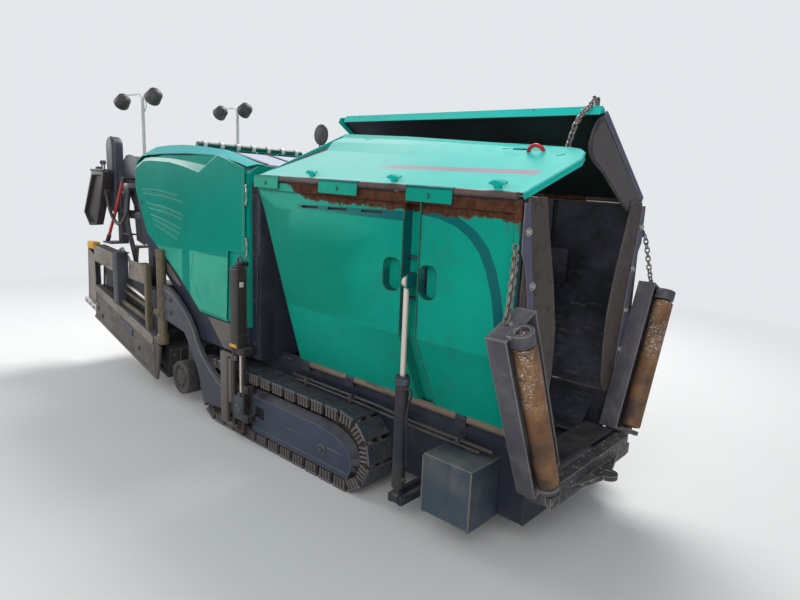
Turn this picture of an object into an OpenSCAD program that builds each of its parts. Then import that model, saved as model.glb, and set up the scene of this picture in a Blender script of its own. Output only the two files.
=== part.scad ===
// Compact tracked asphalt paver, millimetres.
// +X is the travel direction (hopper end), +Y left, +Z up, origin on the ground at mid length.

/* [Tracks] */
// Distance between the idler and sprocket centres
track_base = 1320; // [1200:10:1480]
// Height of the track loop
track_h = 490; // [440:10:520]
// Width of a track shoe
shoe_w = 195; // [170:5:205]
// Number of shoes on each track
shoes = 31; // [28:1:34]

/* [Hopper] */
// Height of the wing and flap hinge line
wing_top = 1690; // [1600:10:1760]
// Fall of the hinge line towards the front
hinge_slope = 1.5; // [0:0.1:2.5]
// Angle of the right flap above level as parked
flap_deg_r = 29; // [26:1:34]
// Angle of the left flap above level as parked
flap_deg_l = 33; // [31:1:38]
// Width of the right flap at its rear end
flap_w_r = 582; // [520:2:600]
// Width of the right flap at its front end
flap_w_f = 430; // [380:5:480]
// Width of the left flap, which closes over the right one
flap_w_l = 765; // [720:5:775]

/* [Push rollers] */
// Roller diameter
roller_d = 92; // [80:2:110]
// Roller length
roller_len = 740; // [660:10:780]
// Outward lean of the folded roller brackets
fold_deg = 24; // [18:1:30]

/* [Hood] */
// Half width of the hood over the doors
hood_half = 620; // [580:5:630]
// Height of the hood's crown
hood_top = 1915; // [1850:5:1960]

/* [Lamps] */
// Height of the lamp masts
mast_top = 2330; // [2200:10:2400]

/* [Auger] */
// Auger diameter
auger_d = 260; // [220:5:280]

/* [Screed] */
// Angle of the raised screed as parked
screed_deg = 14; // [10:0.5:15]
// Half width of the basic screed
screed_half = 600; // [550:10:620]

/* [Hidden] */
track_r = track_h / 2;
idler_x = 1190;
sprocket_x = idler_x - track_base;
track_out = 640;
track_in = track_out - shoe_w;
track_mid = track_out - shoe_w / 2;
shoe_t = 16;
chain_t = 34;
loop_len = 2 * track_base + 2 * PI * track_r;
shoe_pitch = loop_len / shoes;
arc_len = PI * track_r;
frame_y = 440;
pivot_y = 462;
pivot_z = 585;
wall_y = 628;
hinge_y = 640;
hinge_z = wing_top;
cyl_x = 1625;
cyl_y = 662;
cyl_z0 = 150;
cyl_z1 = 1250;
hinge_mid = 1280;
bend_z = 975;
fold_y = 416;
fold_z = 320;
roller_z0 = 125;
bar_half = 384;
bar_x = 2355;
roller_x = bar_x - 24;
lug_x = bar_x + 57;
front_x = bar_x - 150;
wing_x = front_x - 5;
slats_x = front_x - 70;
bracket_x = front_x + 11;
channel_x = bar_x - 45;
lug_r = 48;
tow_x = 230;
tow_z = 220;
guide_y = max(hood_half, track_out - 20) + 54;
arm_eye_r = 64;
auger_x = sprocket_x - 430;
frame_x0 = auger_x + auger_d / 2;
shaft_x = auger_x + 155;
slat_pitch = 190;
auger_z = 235;
scr_x = auger_x - 386;
scr_z = 120;
rear_x = -2460;
pin_r = 8;
mast_x = -1560;
hinge_dx = 242;
rod_r = 14;
step_a = (rear_x - scr_x - 80 * sin(screed_deg)) / cos(screed_deg);
run_gap = 0.3;

// Box between two corners.
module bx(x0, x1, y0, y1, z0, z1)
{
    translate([x0, y0, z0])
        cube([x1 - x0, y1 - y0, z1 - z0]);
}

// Cylinder along X.
module cx(x0, x1, y, z, r)
{
    translate([x0, y, z])
        rotate([0, 90, 0])
            cylinder(r = r, h = x1 - x0, $fn = 64);
}

// Cylinder along Y.
module cy(x, y0, y1, z, r)
{
    translate([x, y1, z])
        rotate([90, 0, 0])
            cylinder(r = r, h = y1 - y0, $fn = 64);
}

// Cylinder along Z.
module cz(x, y, z0, z1, r)
{
    translate([x, y, z0])
        cylinder(r = r, h = z1 - z0, $fn = 64);
}

// Plate in the XZ plane from y0 to y1.
module plate_xz(pts, y0, y1)
{
    translate([0, y1, 0])
        rotate([90, 0, 0])
            linear_extrude(height = y1 - y0)
                polygon(pts);
}

// Profile in the YZ plane from x0 to x1.
module plate_yz(pts, x0, x1)
{
    translate([x0, 0, 0])
        rotate([90, 0, 90])
            linear_extrude(height = x1 - x0)
                polygon(pts);
}

// Puts parts drawn on a level hinge line onto the falling one.
module on_hinge_line()
{
    translate([hinge_mid, 0, hinge_z])
        rotate([0, hinge_slope, 0])
            translate([-hinge_mid, 0, -hinge_z])
                children();
}

// Height of the wing's top edge at x.
function wing_edge(x) = hinge_z - 20 - (x - hinge_mid) * tan(hinge_slope);

module both()
{
    children();
    mirror([0, 1, 0])
        children();
}

// Track parts, drawn for the right side.

module loop_2d(r)
{
    translate([sprocket_x, track_r])
        circle(r = r, $fn = 96);
    translate([idler_x, track_r])
        circle(r = r, $fn = 96);
    translate([sprocket_x, track_r - r])
        square([track_base, 2 * r]);
}

module shoe()
{
    translate([-shoe_pitch / 2 + 4, -4])
        square([shoe_pitch - 8, shoe_t + 4]);
}

// One shoe's place on the loop, counted along the outline from the rear end of the top run.
module shoe_at(s)
{
    if (s < track_base) {
        translate([sprocket_x + s, track_h - shoe_t])
            shoe();
    }
    else if (s < track_base + arc_len) {
        translate([idler_x, track_r])
            rotate(-(s - track_base) / arc_len * 180)
                translate([0, track_r - shoe_t])
                    shoe();
    }
    else if (s < 2 * track_base + arc_len) {
        translate([idler_x - (s - track_base - arc_len), shoe_t])
            rotate(180)
                shoe();
    }
    else {
        translate([sprocket_x, track_r])
            rotate(180 - (s - 2 * track_base - arc_len) / arc_len * 180)
                translate([0, track_r - shoe_t])
                    shoe();
    }
}

module track()
{
    translate([0, -track_in, 0])
        rotate([90, 0, 0])
            linear_extrude(height = shoe_w)
                intersection() {
                    for (i = [0:shoes - 1])
                        shoe_at((i + 0.5) * shoe_pitch);
                    translate([sprocket_x - 400, 0])
                        square([track_base + 800, track_h]);
                }
    translate([0, -track_in - 35, 0])
        rotate([90, 0, 0])
            linear_extrude(height = shoe_w - 70)
                difference() {
                    loop_2d(track_r - shoe_t);
                    loop_2d(track_r - shoe_t - chain_t);
                }
}

module track_frame()
{
    in_r = track_r - shoe_t - chain_t;
    // Cover plate with a round front end.
    difference() {
        union() {
            bx(310, 1190, -track_out, -track_out + 20, 118, 400);
            cy(1190, -track_out, -track_out + 20, 259, 141);
        }
        bx(345, 460, -track_out - 1, -track_out + 6, 225, 325);
    }
    bx(-60, 1120, -track_out + 20, -track_in - 30, 150, 330);
    cy(idler_x, -track_out + 20, -track_in - 2, track_r, 40);
    cy(idler_x, -track_mid - 35, -track_mid + 35, track_r, in_r);
    cy(sprocket_x, -track_mid - 30, -track_mid + 30, track_r, in_r);
    cy(sprocket_x, -track_out + 40, -frame_y, track_r, 110);
    for (x = [120, 330, 540, 750, 960])
        cy(x, -track_mid - 45, -track_mid + 45, 50 + 48, 48);
    bx(60, 140, -track_mid - 30, -track_mid + 30, 330, 418);
    bx(560, 640, -track_mid - 30, -track_mid + 30, 330, 418);
    bx(100, 900, -track_in - 30, -frame_y, 170, 300);
}

module track_frames()
{
    color([0.25, 0.27, 0.31])
        both()
            track_frame();
}

module track_right()
{
    color([0.14, 0.14, 0.15])
        track();
}

module track_left()
{
    color([0.14, 0.14, 0.15])
        mirror([0, 1, 0])
            track();
}

// Main frame.
module chassis()
{
    color([0.25, 0.27, 0.31]) {
        both() {
            plate_xz([[frame_x0, 280], [frame_x0 + 130, 160], [front_x, 160], [front_x, 378],
                [front_x - 105, 560], [frame_x0, 560]], -frame_y, -frame_y + 20);
            // Hinge knuckles of the wing on a side rail.
            bx(600, front_x - 105, -frame_y - 8, -frame_y, 520, 560);
            for (x = [620, 1020, 1420, 1820]) {
                bx(x, x + 60, -pivot_y - 16, -frame_y, 545, pivot_z);
                cx(x, x + 60, -pivot_y, pivot_z, 18);
            }
            cx(620, wing_x - 15, -pivot_y, pivot_z, pin_r);
            // Base clevis of the wing cylinder.
            bx(cyl_x - 45, cyl_x - 22, -cyl_y - 22, -frame_y, cyl_z0 - 25, cyl_z0 + 18);
            bx(cyl_x + 22, cyl_x + 45, -cyl_y - 22, -frame_y, cyl_z0 - 25, cyl_z0 + 18);
            cx(cyl_x - 50, cyl_x + 50, -cyl_y, cyl_z0, 12);
            // Arms that hold the crossbar.
            bx(front_x + 10, bar_x - 65 - run_gap, -330, -300, 312, 400);
        }
        bx(frame_x0, front_x, -frame_y + 20, frame_y - 20, 180, 192);
        bx(frame_x0 + 10, frame_x0 + 30, -frame_y + 20, frame_y - 20, 192, 300);
        bx(front_x, front_x + 10, -frame_y - 5, frame_y + 5, 160, 345);
        bx(front_x, front_x + 10, -335, 335, 345, 430 - run_gap);
    }
}

module crossbar()
{
    color([0.12, 0.12, 0.13])
        difference() {
            union() {
                bx(bar_x - 65, bar_x, -bar_half, bar_half, 301, 412);
                // Tow lug on the bar's face.
                translate([0, 0, 325])
                    linear_extrude(height = 25)
                        polygon([[bar_x - 5, -260], [bar_x - 5, 260], [bar_x, 260], [lug_x, lug_r],
                            [lug_x, -lug_r], [bar_x, -260]]);
                cz(lug_x, 0, 325, 350, lug_r);
                both() {
                    cx(bracket_x, bar_x - 8, -fold_y, fold_z, 14);
                    bx(bar_x - 27, bar_x - 10, -fold_y - 28, -bar_half + 20, fold_z - 28, fold_z + 28);
                }
            }
            cz(lug_x, 0, 320, 360, 25);
        }
}

module apron()
{
    color([0.16, 0.16, 0.18])
        bx(slats_x - 5, bar_x - 70, -336, 336, 430, 442);
}

module hopper_floor()
{
    color([0.15, 0.16, 0.22])
        both() {
            plate_yz([[-420, 540], [-420, 552], [-300, 452], [-300, 440]], 350, front_x - 80);
            plate_yz([[-300, 300], [-300, 452], [-290, 452], [-290, 300]], shaft_x - 15, front_x - 80);
        }
}

module conveyor()
{
    color([0.18, 0.18, 0.19]) {
        bx(shaft_x + 5, slats_x, -280, 280, 380, 388);
        both() {
            bx(shaft_x + 5, slats_x, -270, -240, 388, 420);
            bx(shaft_x + 5, slats_x, -270, -240, 300, 330);
            cy(shaft_x, -290, -230, 360, 60);
            cy(slats_x, -290, -230, 360, 60);
        }
        for (x = [shaft_x + 25:slat_pitch:slats_x - 45])
            bx(x, x + 40, -240, 240, 388, 412);
        cy(shaft_x, -230, 230, 360, 22);
        cy(slats_x, -230, 230, 360, 22);
    }
}

// Box-section wall between hood and hopper with the tunnel mouth.
module bulkhead()
{
    color([0.27, 0.29, 0.33])
        difference() {
            bx(258, 342, -600, 600, 560 + run_gap, 1680);
            bx(250, 350, -300, 300, 400, 820);
            bx(250, 334, -592, 592, 830, 1672);
        }
}

module ballast_boxes()
{
    color([0.30, 0.34, 0.40])
        both()
            bx(1790, front_x - 135, -676, -frame_y, 150, 450);
}

// Hopper wing, drawn for the right side.
module wing()
{
    groove_x0 = cyl_x - 50;
    groove_x1 = cyl_x + 50;
    difference() {
        plate_yz([[-wall_y, hinge_z + 60], [-wall_y, bend_z], [-pivot_y - 8, 604], [-pivot_y + 2, 604],
            [-wall_y + 8, bend_z - 2], [-wall_y + 8, hinge_z + 60]], 352, wing_x);
        plate_xz([[300, 1700], [352, 1700], [659, bend_z], [590, 600], [590, 500], [300, 500]], -700, -400);
        plate_xz([[300, wing_edge(300)], [wing_x + 50, wing_edge(wing_x + 50)], [wing_x + 50, 1900],
            [300, 1900]], -700, -400);
        // Groove of the cylinder and the half-round hand holes beside it.
        bx(groove_x0, groove_x1, -wall_y - 1, -wall_y + 9, bend_z + 30, 1640);
        intersection() {
            cy(groove_x0 - 18, -wall_y - 1, -wall_y + 9, 1270, 90);
            bx(groove_x0 - 120, groove_x0 - 6, -wall_y - 1, -wall_y + 9, 1150, 1400);
        }
        intersection() {
            cy(groove_x1 + 6, -wall_y - 1, -wall_y + 9, 1264, 82);
            bx(groove_x1 + 6, groove_x1 + 120, -wall_y - 1, -wall_y + 9, 1150, 1400);
        }
    }
    // Pockets behind the groove and the hand holes.
    bx(groove_x0 - 6, groove_x1 + 6, -wall_y + 38, -wall_y + 44, bend_z + 24, 1646);
    bx(groove_x0 - 6, groove_x0, -wall_y + 8, -wall_y + 38, bend_z + 24, 1646);
    bx(groove_x1, groove_x1 + 6, -wall_y + 8, -wall_y + 38, bend_z + 24, 1646);
    bx(groove_x0 - 115, groove_x0 - 6, -wall_y + 30, -wall_y + 36, 1176, 1364);
    bx(groove_x1 + 6, groove_x1 + 95, -wall_y + 30, -wall_y + 36, 1176, 1352);
    // Front plate.
    plate_yz([[-wall_y, wing_edge(wing_x + 4)], [-wall_y, bend_z], [-pivot_y - 8, 604], [-pivot_y + 2, 604],
        [-340, 700], [-366, 1175], [-520, wing_edge(wing_x + 4)]], wing_x, wing_x + 8);
    bx(wing_x - 30, wing_x, -wall_y - 14, -wall_y, bend_z, hinge_z - 80);
    // Lugs of the rod's eye in the groove.
    bx(cyl_x - 24, cyl_x - 16, -cyl_y - 24, -wall_y + 38, cyl_z1 - 30, cyl_z1 + 40);
    bx(cyl_x + 16, cyl_x + 24, -cyl_y - 24, -wall_y + 38, cyl_z1 - 30, cyl_z1 + 40);
    // Lower hinge tube between the frame's knuckles.
    for (x = [[685, 1015], [1085, 1415], [1485, 1815], [1885, wing_x - 10]])
        difference() {
            union() {
                cx(x[0], x[1], -pivot_y, pivot_z, 16);
                bx(x[0], x[1], -pivot_y - 8, -pivot_y + 2, pivot_z, 606);
            }
            cx(x[0] - 1, x[1] + 1, -pivot_y, pivot_z, pin_r + run_gap);
        }
    // Top rail with the upper hinge barrels.
    on_hinge_line() {
        bx(380, wing_x - 5, -wall_y - 14, -wall_y, hinge_z - 70, hinge_z - 20);
        for (x = [[360, 600], [960, 1260], [1590, 1860]]) {
            cx(x[0], x[1], -hinge_y, hinge_z, 15);
            bx(x[0], x[1], -wall_y - 14, -wall_y, hinge_z - 22, hinge_z);
        }
        cx(360, wing_x - 28, -hinge_y, hinge_z, pin_r);
    }
}

module wing_right()
{
    color([0.0, 0.56, 0.47])
        wing();
}

module wing_left()
{
    color([0.0, 0.56, 0.47])
        mirror([0, 1, 0])
            wing();
}

// Hinge rods and hooks of a flap, which is drawn flat from its hinge line towards +Y, then turned up.
module flap(deg)
{
    on_hinge_line()
        translate([0, -hinge_y, hinge_z])
            rotate([deg, 0, 0]) {
                children();
                for (x = [[606, 954], [1266, 1584], [1866, wing_x - 28]])
                    difference() {
                        union() {
                            cx(x[0], x[1], 0, 0, 14);
                            bx(x[0], x[1], 8, 24, 0, 6);
                        }
                        cx(x[0] - 1, x[1] + 1, 0, 0, pin_r + run_gap);
                    }
                for (x = [850, 1470, wing_x - 140])
                    plate_xz([[x - 40, 6], [x + 40, 6], [x + 40, 22], [x + 16, 36], [x - 20, 36],
                        [x - 40, 20]], 34, 62);
            }
}

module flap_2d_right()
{
    polygon([[345, 22], [wing_x - 6, 22], [wing_x + 15, flap_w_f - 45], [wing_x - 30, flap_w_f],
        [580, flap_w_r]]);
    translate([wing_x - 30, flap_w_f - 45])
        circle(r = 45, $fn = 48);
}

module flap_2d_left()
{
    polygon([[365, 22], [wing_x - 15, 22], [wing_x - 5, flap_w_l - 10], [430, flap_w_l]]);
}

// A sheet with a rim folded down along its outline.
module rimmed(rim)
{
    linear_extrude(height = 6)
        children();
    translate([0, 0, -rim])
        linear_extrude(height = rim)
            difference() {
                children();
                offset(delta = -6)
                    children();
            }
}

module flap_right()
{
    color([0.0, 0.62, 0.52])
        flap(flap_deg_r)
            rimmed(26)
                flap_2d_right();
}

module flap_left()
{
    color([0.0, 0.62, 0.52])
        mirror([0, 1, 0])
            flap(flap_deg_l) {
                rimmed(34)
                    flap_2d_left();
                // Plate across the front end.
                plate_yz([[24, 0], [24, -163], [643, -233], [flap_w_l + 3, -206], [flap_w_l + 26, -91],
                    [flap_w_l - 10, 0]], wing_x - 13, wing_x - 5);
            }
}

module wing_barrel()
{
    difference() {
        union() {
            cz(cyl_x, -cyl_y, cyl_z0 + 48, 790, 34);
            bx(cyl_x - 19, cyl_x + 19, -cyl_y - 20, -cyl_y + 20, cyl_z0, cyl_z0 + 50);
            cx(cyl_x - 19, cyl_x + 19, -cyl_y, cyl_z0, 30);
        }
        cz(cyl_x, -cyl_y, cyl_z0 + 80, 750, 18);
        cz(cyl_x, -cyl_y, cyl_z0 + 80, 800, rod_r + run_gap);
        cx(cyl_x - 60, cyl_x + 60, -cyl_y, cyl_z0, 12 + run_gap);
    }
}

module wing_rod()
{
    cz(cyl_x, -cyl_y, 500, cyl_z1 - 20, rod_r);
    difference() {
        cx(cyl_x - 12, cyl_x + 12, -cyl_y, cyl_z1, 26);
        cx(cyl_x - 60, cyl_x + 60, -cyl_y, cyl_z1, 13);
    }
}

module wing_barrel_right()
{
    color([0.25, 0.27, 0.31])
        wing_barrel();
}

module wing_barrel_left()
{
    color([0.25, 0.27, 0.31])
        mirror([0, 1, 0])
            wing_barrel();
}

module wing_rod_right()
{
    color([0.85, 0.82, 0.75])
        wing_rod();
}

module wing_rod_left()
{
    color([0.85, 0.82, 0.75])
        mirror([0, 1, 0])
            wing_rod();
}

// Push roller bracket, folded up, leaning outwards about its foot pin.
module bracket()
{
    top = roller_z0 + roller_len + 60;
    translate([0, -fold_y, fold_z])
        rotate([fold_deg, 0, 0])
            difference() {
                union() {
                    // Channel that opens forwards.
                    bx(bracket_x, bracket_x + 10, -85, 150, 85, top);
                    bx(bracket_x + 10, channel_x, -85, -75, 85, top);
                    bx(bracket_x + 10, channel_x, 140, 150, 85, top);
                    bx(bracket_x + 10, channel_x, -75, 140, 85, 97);
                    bx(bracket_x + 10, channel_x, -75, 140, top - 12, top);
                    // Ears of the roller.
                    for (z = [85, top - 24]) {
                        bx(channel_x - 10, roller_x, -45, 45, z, z + 24);
                        cz(roller_x, 0, z, z + 24, 45);
                    }
                    // Foot knuckles.
                    for (x = [bracket_x + 6, channel_x - 10]) {
                        cx(x, x + 24, 0, 0, 27);
                        bx(x, x + 24, -30, 24, 0, 85);
                    }
                }
                cz(roller_x, 0, 70, top + 10, 12 + run_gap);
                cx(bracket_x - 6, bar_x - 15, 0, 0, 14 + run_gap);
            }
}

module roller()
{
    translate([0, -fold_y, fold_z])
        rotate([fold_deg, 0, 0]) {
            cz(roller_x, 0, roller_z0, roller_z0 + roller_len, roller_d / 2);
            cz(roller_x, 0, 90, roller_z0 + roller_len + 56, 12);
        }
}

module bracket_right()
{
    color([0.27, 0.29, 0.33])
        bracket();
}

module bracket_left()
{
    color([0.27, 0.29, 0.33])
        mirror([0, 1, 0])
            bracket();
}

module roller_right()
{
    color([0.38, 0.26, 0.17])
        roller();
}

module roller_left()
{
    color([0.38, 0.26, 0.17])
        mirror([0, 1, 0])
            roller();
}

// Power unit as one plain block.
module engine()
{
    color([0.2, 0.2, 0.22])
        bx(-400, 180, -420, 420, 575 + run_gap, 1500);
}

module hood()
{
    color([0.0, 0.56, 0.47]) {
        difference() {
            union() {
                plate_xz([[-1330, 1480], [-1330, 1620], [-1316, 1700], [250, 1700], [250, 560], [-430, 560],
                    [-740, 880], [-1190, 1170], [-1250, 1300]], -hood_half + run_gap, hood_half - run_gap);
                // Roof with its edges sloped to both sides.
                hull() {
                    plate_xz([[-1316, 1700], [-1300, 1790], [-870, hood_top - 60], [-160, hood_top - 95],
                        [250, 1735], [250, 1700]], -hood_half + run_gap, hood_half - run_gap);
                    plate_xz([[-1316, 1700], [-1290, 1850], [-870, hood_top], [-160, hood_top - 45],
                        [250, 1785], [250, 1700]], -hood_half + 75, hood_half - 75);
                }
            }
            plate_xz([[-1314, 1484], [-1314, 1618], [-1296, 1705], [234, 1705], [234, 575], [-420, 575],
                [-728, 894], [-1176, 1182], [-1236, 1306]], -hood_half + 14, hood_half - 14);
            plate_xz([[-1300, 1690], [-1275, 1838], [-870, hood_top - 12], [-160, hood_top - 57],
                [234, 1772], [234, 1690]], -hood_half + 90, hood_half - 90);
            both()
                plate_xz([[190, 1690], [190, 1280], [0, 1280], [-20, 780], [-360, 790], [-690, 1025],
                    [-1150, 1290], [-1290, 1590], [-1275, 1690]], -hood_half - 1, -hood_half + 30);
        }
        both()
            for (z = [1230, 1560]) {
                cz(hinge_dx, -hood_half - 10, z, z + 90, 4);
                bx(hinge_dx - 3, 250, -hood_half - 16, -hood_half + run_gap, z, z + 28);
                bx(hinge_dx - 3, 250, -hood_half - 16, -hood_half + run_gap, z + 62, z + 90);
            }
    }
}

module door()
{
    difference() {
        union() {
            plate_xz([[228, 1732], [228, 1240], [30, 1240], [10, 750], [-370, 760], [-700, 995],
                [-1170, 1255], [-1336, 1590], [-1302, 1785], [-870, hood_top - 63], [-160, hood_top - 98]],
                -hood_half - 8, -hood_half);
            for (z = [1230, 1560]) {
                cz(hinge_dx, -hood_half - 10, z + 29, z + 61, 9);
                bx(220, hinge_dx, -hood_half - 16, -hood_half - 6, z + 29, z + 61);
            }
        }
        for (z = [1230, 1560]) {
            cz(hinge_dx, -hood_half - 10, z + 20, z + 70, 4 + run_gap);
        }
    }
}

module door_right()
{
    color([0.0, 0.56, 0.47])
        door();
}

module door_left()
{
    color([0.0, 0.56, 0.47])
        mirror([0, 1, 0])
            door();
}

module top_panel()
{
    color([0.62, 0.64, 0.66])
        plate_xz([[-640, hood_top - 14.2], [-160, hood_top - 44.7], [244, 1786.6], [244, 1796],
            [-160, hood_top - 36], [-640, hood_top - 6]], -500, 500);
}

module handrail()
{
    color([0.0, 0.32, 0.24]) {
        cy(-700, -440, 520, hood_top + 30, 24);
        for (y = [-400:140:440]) {
            cy(-700, y, y + 24, hood_top + 30, 30);
            bx(-712, -688, y, y + 24, hood_top - 9.7, hood_top + 20);
        }
    }
}

module mirror_disc()
{
    cz(-366, 450, hood_top - 22.3, hood_top + 130, 8);
    cy(-366, 440, 456, hood_top + 175, 82);
    bx(-374, -358, 442, 458, hood_top + 80, hood_top + 180);
}

module mirror_node()
{
    color([0.1, 0.1, 0.11])
        mirror_disc();
}

// Lamp masts on a portal behind the hood.
module lamp_masts()
{
    color([0.72, 0.73, 0.74])
        both() {
            cz(mast_x, -445, 1750, mast_top, 14);
            bx(mast_x - 130, mast_x + 130, -451, -439, mast_top - 20, mast_top - 8);
            cz(mast_x - 100, -445, mast_top - 10, mast_top + 60, 50);
            cz(mast_x + 100, -445, mast_top - 10, mast_top + 60, 50);
        }
}

// Portal posts and the operator's console on the right.
module console()
{
    color([0.27, 0.29, 0.33]) {
        both() {
            bx(-1440, -1360, -500, -400, 790, 1750 - run_gap);
            bx(-1600, -1440, -490, -400, 1700, 1750 - run_gap);
            bx(-1360, -1330 - run_gap, -500, -400, 1490, 1610);
        }
        bx(-1440, -1400, -400, 400, 1500, 1560);
        bx(-1700, -1440, -500, -300, 1340, 1400);
        bx(-1960, -1560, -640, -260, 1400, 1690);
        cy(-1730, -560, -300, 1700, 150);
    }
}

// Gear case between the augers and the drive drums at their outer ends.
module auger_gear()
{
    color([0.16, 0.16, 0.17]) {
        bx(auger_x - 50, auger_x + 50, -40, 40, 120, 560);
        bx(auger_x - 60, frame_x0 - run_gap, -frame_y, frame_y, 500, 548);
        both() {
            cy(auger_x, -690, -560, auger_z, 125);
            bx(auger_x - 40, auger_x + 40, -600, -565, auger_z + 100, 520);
            bx(auger_x - 40, auger_x + 40, -600, -frame_y, 500, 548);
        }
    }
}

module auger()
{
    cy(auger_x, -550, -48, auger_z, 30);
    // Helical flight.
    translate([auger_x, -52, auger_z])
        rotate([90, 0, 0])
            linear_extrude(height = 480, twist = -1080, slices = 66, segments = 4)
                translate([20, -7])
                    square([auger_d / 2 - 20, 14]);
}

module auger_right()
{
    color([0.30, 0.26, 0.22])
        auger();
}

module auger_left()
{
    color([0.30, 0.26, 0.22])
        mirror([0, 1, 0])
            auger();
}

// Vertical guides of the tow points with their levelling cylinders.
module tow_guide()
{
    bx(tow_x - 65, tow_x - 45, -guide_y - 26, -guide_y - 2, 60, 590);
    bx(tow_x + 45, tow_x + 65, -guide_y - 26, -guide_y - 2, 60, 590);
    bx(tow_x - 65, tow_x + 65, -guide_y - 26, -guide_y - 2, 60, 80);
    bx(tow_x + 65, tow_x + 110, -guide_y - 26, -guide_y - 2, 150, 200);
    bx(tow_x + 65, tow_x + 110, -guide_y - 26, -guide_y - 2, 350, 400);
    bx(tow_x + 90, tow_x + 110, -guide_y - 2, -track_out, 150, 200);
    bx(tow_x + 90, tow_x + 110, -guide_y - 2, -track_out, 350, 400);
    difference() {
        union() {
            cz(tow_x, -guide_y, 640, 1170, 24);
            bx(tow_x - 65, tow_x + 65, -guide_y - 26, -hood_half, 590, 640);
            cy(tow_x, -guide_y - 16, -guide_y + 14, 1195, 30);
            bx(tow_x - 30, tow_x + 15, -guide_y - 16, -hood_half, 1160, 1190);
        }
        cz(tow_x, -guide_y, 500, 1150, 9 + run_gap);
    }
}

module tow_guides()
{
    color([0.27, 0.29, 0.33])
        both()
            tow_guide();
}

module tow_sliders()
{
    color([0.30, 0.31, 0.33])
        both() {
            bx(tow_x - 45 + run_gap, tow_x + 45 - run_gap, -guide_y - 25, -guide_y - 3,
                tow_z - 70, tow_z + 90);
            cy(tow_x, -guide_y - 3, -guide_y + 24, tow_z, 20);
            cz(tow_x, -guide_y - 10, tow_z + 90, tow_z + 110, 9);
            cz(tow_x, -guide_y, tow_z + 110, 800, 9);
            bx(tow_x - 12, tow_x + 12, -guide_y - 22, -guide_y + 8, tow_z + 90, tow_z + 112);
        }
}

module tow_arms()
{
    color([0.27, 0.29, 0.33])
        both()
            difference() {
                union() {
                    plate_xz([[tow_x, tow_z + arm_eye_r], [tow_x - 170, 300], [auger_x + 300, 480],
                        [auger_x + 168, 650], [scr_x + 420, 775], [scr_x + 212, 885], [scr_x + 81, 900],
                        [scr_x + 81, 640], [scr_x + 226, 620], [auger_x + 40, 590], [auger_x + 102, 520],
                        [auger_x + 217, 360], [auger_x + 320, 130], [tow_x, tow_z - arm_eye_r]],
                        -guide_y + 2, -guide_y + 22);
                    cy(tow_x, -guide_y + 2, -guide_y + 22, tow_z, arm_eye_r);
                    bx(scr_x + 81, scr_x + 146, -guide_y + 22, -screed_half - 10, 650, 800);
                    plate_xz([[scr_x + 146, 650], [scr_x + 146, 800], [scr_x - 54, 820], [scr_x - 284, 800],
                        [scr_x - 284, 480], [scr_x - 94, 470], [scr_x - 14, 620]],
                        -screed_half - 29, -screed_half - 10);
                }
                cy(tow_x, -guide_y - 6, -guide_y + 34, tow_z, 20 + run_gap);
            }
}

// Screed parts are drawn level behind the front lower edge, then raised about it.
module raised()
{
    translate([scr_x, 0, scr_z])
        rotate([0, screed_deg, 0])
            children();
}

module screed_base()
{
    color([0.25, 0.25, 0.26])
        raised() {
            bx(-450, 0, -screed_half, screed_half, 0, 40);
            bx(-450, -8, -screed_half + 10, screed_half - 10, 40, 240);
            bx(-450, -150, -screed_half, screed_half, 240, 330);
            bx(-380, -200, -screed_half - 10 + run_gap, screed_half + 10 - run_gap, 330, 480);
        }
}

module screed_deck()
{
    color([0.3, 0.32, 0.35])
        raised() {
            bx(-1150, -380, -560, 560, 330, 350);
            both()
                bx(-1150, -1110, -420, -390, 350, 720);
            bx(-1150, -1120, -390, 390, 690, 720);
        }
}

module ext()
{
    raised() {
        bx(-1000, -450 - run_gap, -590, -5, 0, 200);
        bx(-950, -560, -590, -5, 200, 320);
        bx(-1000, -480, -668, -590, 20, 200);
        bx(-1232, 0, -690, -668, 2, 300);
        bx(-1200, -250, -690, -668, 300, 310);
        bx(-1258, 75, -698, -650, 310, 365);
        bx(-1330, -1258, -698, -650, 100, 640);
        bx(-1400, -906, -698, -650, 505, 708);
        bx(-906, -826, -698, -640, 365, 770);
        bx(-600, -290, -662, -650, 365, 780);
        bx(step_a, -1225, -690, -600, 60, 80);
    }
    cz(scr_x + 41, -667, 470, 1085, 31);
}

module ext_right()
{
    color([0.3, 0.29, 0.28])
        ext();
}

module ext_left()
{
    color([0.3, 0.29, 0.28])
        mirror([0, 1, 0])
            ext();
}

chassis();
track_frames();
track_right();
track_left();
crossbar();
apron();
hopper_floor();
conveyor();
bulkhead();
ballast_boxes();
wing_right();
wing_left();
flap_right();
flap_left();
wing_barrel_right();
wing_barrel_left();
wing_rod_right();
wing_rod_left();
bracket_right();
bracket_left();
roller_right();
roller_left();
engine();
hood();
door_right();
door_left();
top_panel();
handrail();
mirror_node();  // mirror
lamp_masts();
console();
auger_gear();
auger_right();
auger_left();
tow_guides();
tow_sliders();
tow_arms();
screed_base();
screed_deck();
ext_right();
ext_left();
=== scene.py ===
from math import cos, pi, radians, sin, tau

import bpy
from bpy.props import FloatProperty, FloatVectorProperty, IntProperty, PointerProperty
from mathutils import Matrix, Vector


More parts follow.
